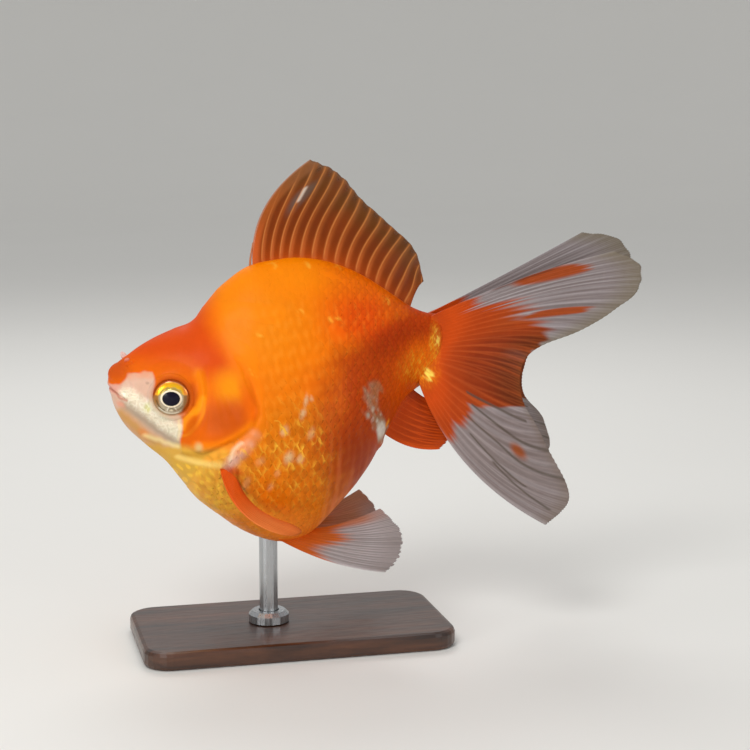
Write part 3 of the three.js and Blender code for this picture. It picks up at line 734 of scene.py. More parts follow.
HEAD_FOLDS = (  # path, half width, softness, strength and colour
    ([[21, 30.4], [26, 30.8], [31, 33.4], [34.4, 36.2]], 1.0, 0.8, 0.7, "F88600"),
    ([[22.0, 48.6], [22.9, 45.2], [22.5, 42.0], [21.3, 39.8]], 1.25, 0.9, 0.75, "F08200"),
    ([[22.7, 42.6], [21.3, 39.6], [19.4, 38.0], [18.3, 36.0], [17.9, 34.6]],
     0.75, 0.7, 0.95, "FA9410"),
    ([[23.0, 41.6], [22.6, 38.8], [20.9, 35.6], [19.0, 33.2], [17.6, 32.5]],
     0.42, 0.8, 0.85, "F68A10"),
)


def head_tint(x, z, wobble):
    """The red-orange crown, the orange gill cover and the folds of skin behind the eye."""
    colours = settings()[1]
    crown = 49 + 3.0 * (1 - smooth(x, 18, 26))
    return painted(
        colours.cheek,
        (smooth(z - crown, -3.5, 3), colours.head),
        (0.8 * spot(x, z, (1.5, 49.6), (3.4, 3.2), 0, 0.7), "C04A10"),  # tip of the snout
        (0.7 * smooth(x, 27.5, 32) * smooth(z, 45, 50), "EE7400"),  # nape
        (0.85 * spot(x, z, (29.6, 45.6), (3.6, 3.8), 0, 0.8), "F29200"),  # top of the cover
        # painted shade in the hollow of the gill cover
        (0.95 * spot(x, z, (28.8, 37.6), (6.2, 4.2), 12, 0.7), "C65000"),  # its dark middle
        (0.5 * spot(x, z, (33.0, 44.0), (1.3, 3.2), 10, 0.8), "E05800"),  # its rear edge
        (0.8 * spot(x, z, (36.0, 38.6), (2.4, 3.4), 0, 0.8), "F66E00"),  # just behind it
        *((strength * stroke(x, z, path, wide, soft), code)
          for path, wide, soft, strength, code in HEAD_FOLDS),
        # painted shade in the hollow between the folds
        (0.75 * spot(x, z, (19.8, 35.4), (1.2, 2.2), -25, 0.7), "CC5C00"),  # between folds
        # painted shade behind the eye
        (0.6 * stroke(x, z, [[20.2, 45.8], [20.8, 43.6], [20.4, 41.0]], 0.7, 0.9), "BE4A04"),
        (smooth(30.8 - z + 0.3 * wobble, 0, 3.0), "DEAA40"),  # chin
        (0.75 * spot(x, z, (21.5, 29.9), (0.8, 1.1), 0, 0.8), "E2C484"),
        (0.45 * stroke(x, z, [[15, 27.6], [20, 27.4], [26, 28.6]], 0.7, 0.9), "A8701C"))


CHEEK_SPOTS = (  # centre, radii, tilt, softness, strength and colour
    ((8.6, 32.4), (0.9, 1.5), 40, 0.8, 0.75, "E88A48"),
    ((3.0, 40.2), (1.1, 0.7), -40, 0.8, 0.75, "E89C80"),
    ((8.9, 39.7), (0.8, 1.2), 0, 0.8, 0.8, "DFDA8A"),
    ((9.1, 46.3), (0.45, 0.3), 0, 0.6, 0.45, "9A7A6A"),
)
JAW = [[3.2, 37.2], [6.0, 34.4], [9.2, 31.4], [12.0, 29.6]]
CHEEK_REAR = [[17.1, 36.6], [17.1, 33.6], [16.9, 31.4]]
MOUTH_LINE = [[4.4, 41.3], [2.8, 42.0], [1.4, 43.2], [0, 44.4]]


def cheek_tint(result, x, z, cheek, wobble):
    """The white lower face over the orange of the head."""
    colours = settings()[1]
    silver = 0.92 * stroke(x, z, SILVER_BAND, 1.7, 0.7)
    grain = waves(x, z, 0.9, 21)
    plates = 0.5 + 0.5 * waves(x, z, 2.4, 24)
    return painted(
        result, (cheek, colours.white),
        (cheek * 0.75 * smooth(z - 0.12 * x, 45.4, 47.6), "E69C78"),  # its upper border
        (cheek * 0.7 * (1 - smooth(x, 1.4, 4.2)) * smooth(z, 42, 44), "DE9484"),  # upper lip
        (cheek * 0.85 * stroke(x, z, GREY_BAND, 1.5, 0.7), colours.lavender),
        (cheek * silver, colours.silver),
        (cheek * 0.55 * silver * plates * smooth(x, 9, 14), "CCC8AC"),
        (cheek * 0.85 * stroke(x, z, JAW, 1.5, 0.9), "CC9448"),
        *((cheek * strength * spot(x, z, centre, radii, tilt, soft), code)
          for centre, radii, tilt, soft, strength, code in CHEEK_SPOTS),
        (np.clip(3 * cheek, 0, 0.95) * smooth(30.4 - z + 0.5 * wobble, 0, 2.2), "DEAA40"),  # chin
        (cheek * 0.7 * stroke(x, z, [[9, 31.8], [13, 30.4], [17, 29.6]], 0.6, 1.2), "F6E0A0"),
        # painted highlights: bright sparkles on the silver band
        (cheek * 0.65 * bump(grain, 0.30) * silver, "FFFAE6"),
        (cheek * 0.30 * bump(grain - 0.9, 0.35) * silver, "B4A888"),
        (cheek * 0.6 * stroke(x, z, CHEEK_REAR, 0.35, 0.8), "F2D6A0"),
        (cheek * 0.7 * stroke(x, z, MOUTH_LINE, 0.30, 0.9), "B0604C"))


# Path of the painted shadow that the gill cover's free edge casts on the body.
COVER_EDGE_SHADOW = [[31.8, 51.6], [33.6, 48.2], [35.2, 43.4], [36.3, 38.8]]
# Path of a painted highlight along the fold between head and chest.
THROAT_HIGHLIGHT = [[17, 26.4], [22, 25.4], [27, 25.2]]
FIN_BONES = [[35.0, 33.4], [32.2, 29.6], [29.4, 26.2], [28.6, 24.8]]
BONE_GLINT = [[31.9, 31.6], [29.9, 29.2], [28.6, 26.9]]
FIN_SHADE = [[30.8, 24.3], [31.4, 20.8], [33.5, 17.4]]


def side_tint(result, x, y, z, sign, wobble, fine):
    """The markings of one side over its orange: cheek, pectoral root, vent and pale scales."""
    here = y * sign >= 0
    uneven_x, uneven_z = x + 0.2 * wobble, z + 0.18 * fine
    cheek = here * patch(uneven_x, uneven_z, CHEEK[sign], 0.45)
    result = cheek_tint(result, uneven_x, uneven_z, cheek, wobble)
    flank = here * smooth(np.abs(y), 2, 8)
    vent = flank * patch(x + 0.6 * fine, z + 0.3 * wobble, VENT[sign], 0.8)
    specks = smooth(waves(x, z, 1.2, 27), 0.3, 0.9) * (1 - smooth(z, 34, 44))
    bones = here * stroke(uneven_x, uneven_z, FIN_BONES, 1.3, 0.9)
    result = painted(
        result,
        (vent * (0.72 - 0.25 * smooth(z, 36, 40) + 0.16 * fine), "A28C72"),
        (vent * 0.45 * smooth(x - 0.4 * wobble, 66.4, 68), "A4622C"),
        (vent * 0.7 * specks, "D4C8B8"),
        (flank * 0.85 * spot(x + 0.4 * fine, z, (70.6, 31.4), (1.3, 2.4), 25, 0.8), "E8E2D4"),
        (0.75 * bones * (0.85 + 0.25 * fine), "EBA078"),
        (0.7 * bones * (1 - smooth(z, 26.5, 31)), "C9A49C"),
        # painted highlight along the pectoral bones
        (0.6 * here * stroke(uneven_x, uneven_z, BONE_GLINT, 0.45, 0.9), "F2DCB8"),
        (0.8 * here * spot(x, z, (29.9, 23.8), (2.0, 1.0), -10, 0.8), "DC5420"),
        (0.6 * here * stroke(x, z, FIN_SHADE, 0.28, 0.9), "86300A"),
        # painted highlight: a small orange glint at the anal fin's front root
        (0.8 * here * spot(x, z + 0.3 * fine, (72.9, 33.0), (0.6, 0.9), -30, 0.8), "FFA028"))
    for px, pz, wide, tall, strength in PALE_SCALES[sign]:
        pale = spot(uneven_x - 0.25 * (z - pz), uneven_z, (px, pz), (wide, tall), 0, 0.75)
        result = painted(result, (0.8 * strength * here * pale, "E6CC9C"))
    return result


def body_tint(x, y, z):
    """The colour of the body at a place, the same for skin and scales."""
    wobble = waves(x, z, 5, 11)
    fine = waves(x, z + y, 1.6, 12)
    gill = 1 - smooth(x - head_edge_x(z), -0.6, 1.2)
    nape = 1 - smooth(x - x_at(NAPE, z), -4, 5)
    lower = 1 - smooth(z, 44, 50)
    head = gill * lower + nape * (1 - lower)
    flecks = smooth(waves(x, z, 1.2, 72), 0.2, 0.8) * smooth(z, 9, 15) * (1 - smooth(z, 24, 25))
    result = painted(
        trunk_tint(x, z, wobble, fine), (head, head_tint(x, z, wobble)),
        # painted shadow of the gill cover's free edge on the body behind it
        (0.35 * stroke(x, z, COVER_EDGE_SHADOW, 0.45, 0.8) * (1 - gill), "C24C00"),
        # painted highlight along the fold between head and chest
        (0.8 * stroke(x, z, THROAT_HIGHLIGHT, 0.8, 0.9), "FFD878"),
        (0.75 * chest(x, z) * flecks, "FFCA42"))
    for sign in SIDES.values():
        result = side_tint(result, x, y, z, sign, wobble, fine)
    # painted highlights: the glints are bright yellow spots laid over the colour
    uneven_x, uneven_z = x + 0.3 * fine, z + 0.4 * waves(x, z, 1.1, 14)
    glints = [spot(uneven_x, uneven_z, centre, (0.75, 0.38), -20, 0.9) for centre in GLINTS]
    return painted(result, (0.75 * np.max(glints, axis=0), "FFB236"))


def body_shine(x, y, z):
    """How metallic the body is at a place: golden on the chest and silver on the cheek."""
    speck = 0.5 + 0.5 * waves(x, z + 0.3 * y, 1.3, 31)
    cheek = 0.45 * stroke(x, z, SILVER_BAND, 1.9, 0.6)
    golden = 0.22 * chest(x, z) * smooth(x, 16, 19)
    belly = 0.25 * spot(x, z, (42, 28), (13, 14), 10, 0.6)
    return np.clip((cheek + golden + belly) * (0.4 + 0.6 * speck), 0, 1)


# ---- Material pieces ------------------------------------------------------------------------

def plug(tree, node, sources):
    """Links or sets a node's inputs, given by name or number, with sockets or values."""
    for socket, source in sources.items():
        if isinstance(source, bpy.types.NodeSocket):
            tree.links.new(source, node.inputs[socket])
        else:
            node.inputs[socket].default_value = source
    return node


def add(tree, kind, sources=None, **properties):
    """Adds a node of a kind, sets its properties and plugs its inputs."""
    node = tree.nodes.new(kind)
    for key, value in properties.items():
        setattr(node, key, value)
    return plug(tree, node, sources or {})


def maths(tree, operation, *values):
    """The outcome of a sum on sockets and numbers."""
    return add(tree, "ShaderNodeMath", dict(enumerate(values)), operation=operation).outputs[0]


def noise(tree, place, scale, detail, **more):
    """The value of a cloudy noise at a place."""
    sources = {"Vector": place, "Scale": scale, "Detail": detail, **more}
    return add(tree, "ShaderNodeTexNoise", sources).outputs["Fac"]


def ranged(tree, value, low, high, to_low, to_high):
    """A value's range from low to high, stretched to another range."""
    sources = {"Value": value, "From Min": low, "From Max": high, "To Min": to_low,
               "To Max": to_high}
    return add(tree, "ShaderNodeMapRange", sources).outputs["Result"]


def bumped(tree, height, strength, distance):
    """The normal of a surface whose fine height is given."""
    sources = {"Height": height, "Strength": strength, "Distance": distance}
    return add(tree, "ShaderNodeBump", sources).outputs["Normal"]


def object_place(tree, stretch=None):
    """The place on the object, stretched along its axes where that is given."""
    place = add(tree, "ShaderNodeTexCoord").outputs["Object"]
    if stretch:
        mapping = add(tree, "ShaderNodeMapping", {"Vector": place, "Scale": stretch})
        place = mapping.outputs["Vector"]
    return place


def attribute(tree, name):
    """The node that reads one of the piece's own markings."""
    return add(tree, "ShaderNodeAttribute", attribute_name=name)


def node_group(name, inputs, outputs):
    """An empty group with its sockets: each input's kind and value, each output's kind."""
    group = bpy.data.node_groups.new(name, "ShaderNodeTree")
    for socket, (kind, value) in inputs.items():
        made = group.interface.new_socket(name=socket, in_out="INPUT", socket_type=kind)
        if value is not None:
            made.default_value = value
    for socket, kind in outputs.items():
        group.interface.new_socket(name=socket, in_out="OUTPUT", socket_type=kind)
    return group, group.nodes.new("NodeGroupInput").outputs, group.nodes.new("NodeGroupOutput")


def mottle_group():
    """Small changes of colour, as living skin has."""
    if "Mottle" in bpy.data.node_groups:
        return bpy.data.node_groups["Mottle"]
    group, given, end = node_group(
        "Mottle",
        {"Colour": ("NodeSocketColor", None), "Size": ("NodeSocketFloat", 900.0),
         "Amount": ("NodeSocketFloat", 0.1)},
        {"Colour": "NodeSocketColor"})
    cloud = noise(group, object_place(group), given["Size"], 4.0, Roughness=0.6)
    swing = maths(group, "MULTIPLY", maths(group, "SUBTRACT", cloud, 0.5), given["Amount"])
    value = maths(group, "ADD", swing, 1.0)
    tinted = add(group, "ShaderNodeHueSaturation", {"Color": given["Colour"], "Value": value})
    plug(group, end, {"Colour": tinted.outputs["Color"]})
    return group


def grain_group():
    """Fine unevenness of a wet surface: a height for a bump and a changing roughness."""
    if "Wet grain" in bpy.data.node_groups:
        return bpy.data.node_groups["Wet grain"]
    group, given, end = node_group(
        "Wet grain",
        {"Size": ("NodeSocketFloat", 2500.0), "Rough low": ("NodeSocketFloat", 0.25),
         "Rough high": ("NodeSocketFloat", 0.45)},
        {"Height": "NodeSocketFloat", "Roughness": "NodeSocketFloat"})
    place = object_place(group)
    rough = ranged(group, noise(group, place, 260.0, 3.0), 0.3, 0.7,
                   given["Rough low"], given["Rough high"])
    plug(group, end, {"Height": noise(group, place, given["Size"], 3.0), "Roughness": rough})
    return group


def mottled(tree, tint, size, amount):
    """A colour with small changes laid over it."""
    return add(tree, "ShaderNodeGroup", {"Colour": tint, "Size": size, "Amount": amount},
               node_tree=mottle_group()).outputs["Colour"]


def new_material(name):
    """A material that holds only its shader: the material, its tree and the shader."""
    material = bpy.data.materials.new(name)
    material.use_nodes = True
    tree = material.node_tree
    tree.nodes.clear()
    shader = add(tree, "ShaderNodeBsdfPrincipled")
    add(tree, "ShaderNodeOutputMaterial", {"Surface": shader.outputs["BSDF"]})
    return material, tree, shader


def wet_material(name, mottle=0.12, rough=(0.42, 0.58), coat=0.02, coat_rough=0.16,
                 bump_height=0.00004, flesh=0.12, metallic=True, clear=False):
    """Wet living skin that takes its colour from the piece's own markings."""
    if name in bpy.data.materials:
        return bpy.data.materials[name]
    material, tree, shader = new_material(name)
    sources = {"Size": 2500.0, "Rough low": rough[0], "Rough high": rough[1]}
    grain = add(tree, "ShaderNodeGroup", sources, node_tree=grain_group()).outputs
    roughness = grain["Roughness"]
    if metallic:
        shine = attribute(tree, "shine").outputs["Fac"]
        polish = maths(tree, "MULTIPLY_ADD", shine, -0.5, 1.0)
        roughness = maths(tree, "MULTIPLY", roughness, polish)
        plug(tree, shader, {"Metallic": shine})
    if clear:
        plug(tree, shader, {"Alpha": attribute(tree, "solid").outputs["Fac"]})
    tint = attribute(tree, "tint").outputs["Color"]
    plug(tree, shader, {
        "Base Color": mottled(tree, tint, 700.0, mottle), "Roughness": roughness,
        "Normal": bumped(tree, grain["Height"], 0.5, bump_height),
        "Coat Weight": coat, "Coat Roughness": coat_rough, "Subsurface Weight": flesh,
        "Subsurface Radius": (1.0, 0.35, 0.12), "Subsurface Scale": 0.0015, "IOR": 1.4,
        "Specular IOR Level": 0.12})
    return material


def finish_piece(made, material, slot, *replaced):
    """Gives a piece its material, hangs it on the root body in the shared frame and hides the
    solids it replaces.
    """
    made.data.materials.clear()
    made.data.materials.append(material)
    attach(made, "root")
    if replaced:
        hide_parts(*replaced)


# ---- Skin -----------------------------------------------------------------------------------

EYE_RING = np.array([  # radius, height over the skin round the eye
    [4.32, -2.2], [4.36, -0.9], [4.44, -0.25], [4.56, 0.10], [4.74, 0.30], [4.98, 0.38],
    [5.26, 0.36], [5.56, 0.25], [5.90, 0.08], [6.30, -0.16], [6.4, -0.8], [5.4, -2.2]])
EYE_RING_SIDES = 132
FLAP = {"heights": {-1.0: 0.8, 1.0: 2.0}, "half": 0.80, "thickness": 0.34, "points": 15}


def round_waves(angle):
    """A constant and the first three waves round a circle, for fitting a height to them."""
    waves_round = [wave(n * angle) for n in (1, 2, 3) for wave in (np.cos, np.sin)]
    return np.stack([np.ones_like(angle), *waves_round], -1)


def eye_ring(sign):
    """The rim of skin that holds the eyeball, as high as the skin round it."""
    points = body_surface()[1]
    side = points[(points[..., 1] * sign > 3) & (points[..., 0] < 26)]
    height, radius, turn = round_eye(side, sign)
    close = np.abs(radius - 5.8) < 0.5
    fit = np.linalg.lstsq(round_waves(turn[close]), height[close], rcond=None)[0]
    centre, axis, up = eye_axes(sign)
    ring, quads = turned(EYE_RING * (1, 0), EYE_RING_SIDES, centre, axis, up)
    level = round_waves(round_eye(ring, sign)[2]) @ fit
    level = level * (1 - 0.35 * (1 - smooth(EYE_RING[:, 0], 4.5, 5.6)))[:, None]
    ring = ring + (EYE_RING[:, None, 1] + level)[..., None] * axis
    return ring, [quads[:, ::-1] if sign < 0 else quads]


def nostril_flap(sign):
    """A small upright fold of skin between the two openings of a nostril."""
    _, points, normals = body_surface()
    away = np.hypot(points[..., 0] - NOSTRIL[0], points[..., 2] - NOSTRIL[1])
    away = np.where(points[..., 1] * sign > 2, away, FAR)
    at = np.unravel_index(np.argmin(away), away.shape)
    rise = normals[at] + (-0.25, 0, 0.5)
    rise /= np.linalg.norm(rise)
    wide = np.cross(rise, (0, 1.0, 0))
    wide /= np.linalg.norm(wide)
    up = np.linspace(-0.3, 1, FLAP["points"])[:, None]
    across = np.linspace(-1, 1, FLAP["points"])[None, :]
    over = np.clip(up, 0, 1)
    half = FLAP["half"] * np.sqrt(np.clip(1 - over ** 2.4, 0.04, 1))
    middle = (points[at] + (half * across)[..., None] * wide
              + (FLAP["heights"][sign] * up)[..., None] * rise)
    thick = FLAP["thickness"] * np.sqrt(np.clip(1 - across ** 2, 0.02, 1)
                                        * np.clip(1 - over ** 3, 0.05, 1))
    side = np.cross(wide, rise) * thick[..., None]
    return closed_sheet(middle + side, middle - side)


class GOLDFISH_OT_skin(bpy.types.Operator):
    """Makes the one skin of head, jaw, gill covers, trunk and tail stalk"""
    bl_idname = "goldfish.skin"
    bl_label = "Skin"

    def execute(self, context):
        rings = body_surface()[1]
        body = capped(rings, [rings[0].mean(0), rings[-1].mean(0) + (0.2, 0, 0)])
        parts = [body]
        for sign in SIDES.values():
            parts += [eye_ring(sign), nostril_flap(sign)]
        points, faces = joined(parts)
        tint, shine = skin_paint(points, len(body[0]))
        made = mesh_object("skin", points, faces, {"tint": tint, "shine": shine})
        finish_piece(made, wet_material("Wet skin"), "skin", "head", "lower_jaw", "trunk",
                     "tail_stalk", "gill_cover_left", "gill_cover_right")
        return {"FINISHED"}


def skin_paint(points, body_count):
    """The skin's colours and shine, with painted shade on the rings round the eyes, and the
    nostrils' folds.
    """
    x, y, z = points.T
    tint, shine = body_tint(x, y, z), body_shine(x, y, z)
    for sign in SIDES.values():
        _, radius, turn = round_eye(points, sign)
        near = (radius < 9) & (y * sign > 4)
        above = smooth(np.sin(turn), -0.5, 0.5)
        front = smooth(-np.cos(turn), 0.3, 0.85)
        rear = smooth(np.cos(turn), 0.2, 0.8)
        rim = near * (1 - smooth(radius, 5.0, 6.2))
        low_front = (1 - above) * (1 - rear)
        # painted shade round each eye: darker above and behind its rim, and a dark line in the
        # groove where the skin meets the eyeball
        tint = painted(tint,
                       (0.8 * rim * above * (1 - 0.5 * front), "BE4A06"),
                       (0.75 * rim * rear, "BA4E04"),
                       (0.6 * rim * low_front, "C8B090"),
                       (0.85 * near * (1 - smooth(radius, 4.6, 5.1)) * (1 - 0.6 * low_front),
                        "8A3604"))
        shine = shine * (1 - rim)
    flap = (np.arange(len(points)) >= body_count) & (x < 8.5)
    tint = painted(tint, (flap * np.where(y > 0, 0.85, 0.25) * smooth(z, 50.6, 51.8), "DCCAC4"))
    return tint, shine * ~flap


# ---- Scales ---------------------------------------------------------------------------------

def lengths(paths):
    """Distance run up to each point of several paths, one to a row."""
    steps = np.linalg.norm(np.diff(paths, axis=1), axis=-1)
    return np.concatenate([np.zeros((len(paths), 1)), np.cumsum(steps, axis=1)], axis=1)


def between(grid, row, column):
    """Values of a grid at fractions of its rows and columns; the columns go round."""
    r = np.clip(np.floor(row).astype(int), 0, len(grid) - 2)
    c = np.floor(column).astype(int)
    down, across = row - r, column - c
    if grid.ndim > 2:
        down, across = down[..., None], across[..., None]
    left, right = c % grid.shape[1], (c + 1) % grid.shape[1]
    return ((grid[r, left] * (1 - across) + grid[r, right] * across) * (1 - down)
            + (grid[r + 1, left] * (1 - across) + grid[r + 1, right] * across) * down)


class RowMap:
    """Finds the body's surface from a ring along the body and a row of scales round it.

    Row 0 runs along the middle of the flank, and the rows are less high where the body is
    slender.
    """

    LATERAL_Z = 50.5
    REACH = 26
    STEPS = 5

    def __init__(self, row_height):
        place, self.points, self.normals = body_surface()
        rings, self.sides = self.points.shape[:2]
        self.rings = np.arange(rings)
        spare = self.sides // 8
        columns = np.arange(-spare, self.sides // 2 + spare + 1)
        angles = columns * 2 * math.pi / self.sides
        arcs = lengths(self.points[:, columns % self.sides])
        middle = [np.interp(angle, angles, arc) for angle, arc in zip(self.middle(place), arcs)]
        arcs = arcs - np.array(middle)[:, None]
        up, down = -arcs[:, spare], arcs[:, -1 - spare]
        girth = up + down
        self.shrink = 0.60 + 0.40 * np.clip(1.15 * girth / girth.max(), 0, 1)
        height = row_height * self.shrink
        rows = np.linspace(-self.REACH, self.REACH, 2 * self.REACH * self.STEPS + 1)
        self.angles = np.array([np.interp(rows * tall, arc, angles)
                                for tall, arc in zip(height, arcs)])
        self.limit_up, self.limit_down = up / height, down / height
        line = self.surface(self.rings, np.zeros(rings))[0]
        self.run = lengths(line[None])[0]

    def middle(self, place):
        """Angle from the back at which each ring crosses the height of the lateral line."""
        back, belly, level = station_values(place)[:, [1, 3, 5]].T
        rise = (self.LATERAL_Z - belly) / np.maximum(back - belly, 1)
        return np.arccos(np.clip((rise - level) / (1 - level), -0.2, 0.95))

    def angle(self, ring, row):
        """Angle from the back, at a ring and a row."""
        return between(self.angles, ring, (row + self.REACH) * self.STEPS)

    def surface(self, ring, row):
        """Points and normals of the body, at a ring and a row."""
        side = self.angle(ring, row) / (2 * math.pi) * self.sides
        return between(self.points, ring, side), between(self.normals, ring, side)


def scale_roots(rows, pitch):
    """Course by course, the ring, the row and the length of every scale of one side."""
    roots = []
    run, course = 0.0, 0
    while run < rows.run[-1] - 0.8:
        ring = np.interp(run, rows.run, rows.rings)
        shrink, up, down = (np.interp(ring, rows.rings, values)
                            for values in (rows.shrink, rows.limit_up, rows.limit_down))
        offset = 0.5 * (course % 2)
        first, last = math.ceil(-up - 0.2 - offset), int(down + 0.2 - offset)
        roots += [(ring, row + offset, pitch * shrink) for row in range(first, last + 1)]
        run += 0.5 * pitch * shrink
        course += 1
    return np.array(roots)


def placed_roots(rows, pitch):
    """The roots behind the head and the gill cover, with their x and z."""
    roots = scale_roots(rows, pitch)
    x, _, z = rows.surface(roots[:, 0], roots[:, 1])[0].T
    keep = (x > head_edge_x(z) - 0.2) & (x < SCALES_END)
    keep &= edge_distance(x, z, rounded(GILL_EDGE)) < 0.2
    return roots[keep], x[keep], z[keep]


def scale_style(x, z):
    """At a scale's root: how far it lifts, how much of the rear flank and of the golden net it
    is, and how far it has come up from the head's edge."""
    hump = spot(x, z, (40, 62), (21, 16), -12, 0.45)
    net = spot(x, z, (41, 27), (12, 15), 8, 0.5) + chest(x, z) * smooth(x, 16, 20)
    net = np.clip(net, 0, 1)
    plain_belly = smooth(x, 50, 55) * (1 - smooth(z, 28, 40))
    rear = smooth(x - 0.2 * z, 36, 50) * (1 - plain_belly)
    lift = 0.16 + (0.50 - 0.26 * smooth(z, 50, 58)) * rear + 0.75 * net
    lift = lift * (1 - 0.45 * hump) * (1 - 0.5 * plain_belly)
    behind = x - head_edge_x(z)
    grown = np.where(z > 36, smooth(behind, 0, 9), smooth(behind, 0, 4.5))
    return lift, rear, net, grown


# A scale's points lie at these shares of its half width and of its length.
SCALE_U = np.array([-1, -0.74, -0.38, 0, 0.38, 0.74, 1])
SCALE_V = np.array([0, 0.44, 0.60, 0.72, 0.84, 0.94, 1])
SCALE_GRID = (len(SCALE_V), len(SCALE_U))
SCALE_RIM = rim_indices(*SCALE_GRID)
SCALE_TOP = len(SCALE_V) * len(SCALE_U)
SCALE_LOWER = np.append(SCALE_RIM, SCALE_TOP // 2)  # what each lower point lies under
SCALE_POINTS = SCALE_TOP + len(SCALE_LOWER)
SCALES_END = 90.4
SCALE_SEEDS = {-1.0: 17, 1.0: 18}


def sinking(spots):
    """How far the scales sink towards the edges of the head and the gill cover."""
    x, z = spots[..., 0], spots[..., 2]
    covered = np.maximum(edge_distance(x, z, rounded(GILL_EDGE)), head_edge_x(z) - x)
    bare = np.interp(z, [24, 27, 35, 39, 50, 56], [0.9, 4.0, 4.0, 2.6, 1.8, 6.0])
    nape = smooth(z, 48, 55)
    return (0.45 * smooth(covered + bare, 0, 2.2 + 4 * nape)
            + 0.7 * (1 - nape) * smooth(covered, -0.9, 0.2))


def scale_plates(rows, roots, style, chance):
    """The points of every scale: its upper face, its lower rim and one under its middle."""
    sizes = settings()[0]
    ring, row, pitch = roots.T[..., None, None]
    lift, _, _, grown = (value[:, None, None] for value in style)
    askew, raised = (chance[:, k, None, None] for k in (0, 1))
    u, v = SCALE_U[None, None, :], SCALE_V[None, :, None]

    half = 0.62 * np.sqrt(1 - 0.985 * np.clip((v - 0.46) / 0.54, 0, 1) ** 3.0)
    run = np.interp(ring, rows.rings, rows.run)
    run = run + 1.62 * pitch * (v * (1 - 0.10 * u ** 2 * v) - 0.45)
    row = row + half * u + 0.02 * askew * v
    spots, outs = rows.surface(np.interp(run, rows.run, rows.rings), row)

    rise = sizes.scale_lift / MM * lift * grown * (1 + 0.20 * raised)
    drop = (1.14 - 0.90 * smooth(lift, 0.09, 0.17)) * smooth(v, 0.80, 1.0)
    dome = 0.06 * lift * (1 - u ** 2) * np.sin(math.pi * v)
    height = 0.05 + rise * (v - drop - 0.22 * np.abs(u) ** 3 * v) + dome - sinking(spots)

    top = (spots + outs * height[..., None]).reshape(len(roots), -1, 3)
    outs = outs.reshape(len(roots), -1, 3)
    depth = np.append(np.ones(len(SCALE_RIM)), 3) * sizes.scale_thickness / MM
    lower = top[:, SCALE_LOWER] - outs[:, SCALE_LOWER] * depth[:, None]
    return np.concatenate([top, lower], axis=1)


def scale_faces(count):
    """Faces of that many closed plates: upper face, sides and a fan below."""
    below = SCALE_TOP + np.arange(len(SCALE_RIM))
    after = np.roll(below, -1)
    sides = np.stack([np.roll(SCALE_RIM, -1), SCALE_RIM, below, after], -1)
    fan = np.stack([after, below, np.full(len(below), SCALE_POINTS - 1)], -1)
    start = (np.arange(count) * SCALE_POINTS)[:, None, None]
    quads = np.concatenate([grid_quads(*SCALE_GRID), sides])
    return [(quads + start).reshape(-1, 4), (fan + start).reshape(-1, 3)]


def scale_shares():
    """The share of a scale's length and of its half width at each of its points."""
    order = np.append(np.arange(SCALE_TOP), SCALE_LOWER)
    return np.repeat(SCALE_V, len(SCALE_U))[order], np.tile(SCALE_U, len(SCALE_V))[order]


def scale_paint(points, style, z, chance):
    """Colours and shine of the scales: the skin's own, with each scale's bands and rim; the dark
    band is painted shade behind the scale in front, and the golden rims and glints are partly
    painted highlights.
    """
    px, py, pz = points[..., 0], points[..., 1], points[..., 2]
    tint, shine = body_tint(px, py, pz), body_shine(px, py, pz)
    v, u = scale_shares()
    _, rear, net, grown = (value[:, None] for value in style)
    net = net * grown
    warm, pale_chance, bright_chance = chance[:, 0:1], chance[:, 1:2], chance[:, 2:3]

    rim = np.maximum(v, 0.74 * np.abs(u) + 0.38 * v) + 0.10 * waves(px, pz, 1.1, 65)
    rim = smooth(rim, 0.66, 0.95)
    tint = tint * (1 + 0.07 * bright_chance * (0.2 + 0.5 * rear + 1.4 * net))[..., None]
    # painted shade just behind the free edge of the scale in front
    shade_band = 0.42 * rear * bump(v - 0.75, 0.09)
    pale_tip = (rear * (0.34 + 0.22 * pale_chance) * smooth(v, 0.84, 0.95)
                * (1 - smooth(np.abs(u), 0.40, 0.85)) * (1 - 0.6 * smooth(z, 52, 60)[:, None]))
    dark_core = 0.42 * net * bump(v - 0.70, 0.12)
    patchy = np.clip(0.50 + 0.75 * waves(px, pz, 2.6, 63), 0.08, 1)
    bright = 0.5 + 0.5 * spot(px, pz, (43.5, 31.5), (8, 9), 10, 0.8)
    # golden rims: partly the scales' own gold and partly painted highlights
    gold = np.clip(net * rim * patchy * bright * (0.75 + 0.50 * warm), 0, 1)
    # painted glints at the tail's root, a golden halo and bright cores; the raised shine is the
    # scales' own metal
    glint_halo, glint_cores = glint_masks(px, pz)
    glint_halo = glint_halo * (0.45 + 0.55 * smooth(warm, -0.6, 0.4) * smooth(v, 0.5, 0.9))
    tint = painted(tint, (shade_band, tint * (0.66, 0.46, 0.40)),
                   (pale_tip, np.clip(tint * (1.10, 1.55, 1.4) + (0.03, 0.02, 0.004), 0, 1)),
                   (dark_core, tint * (0.82, 0.62, 0.5)), (gold, "FFB838"),
                   (0.9 * glint_halo, "FF9A14"), (0.85 * glint_halo * rim, "FFCC40"),
                   (glint_cores, "FFE86A"))
    return tint, np.clip(shine + 0.20 * gold + 0.12 * (glint_halo + glint_cores), 0, 0.9)


def scale_unwrap(rows, roots):
    """A place on the unwrap for every point; each scale has its own small area."""
    ring, row, _ = roots.T
    middle = np.stack([ring / len(rows.run), rows.angle(ring, row) / math.pi * 0.9 + 0.05], -1)
    v, u = scale_shares()
    return middle[:, None] + np.stack([v - 0.5, u * 0.5], -1) * 0.003


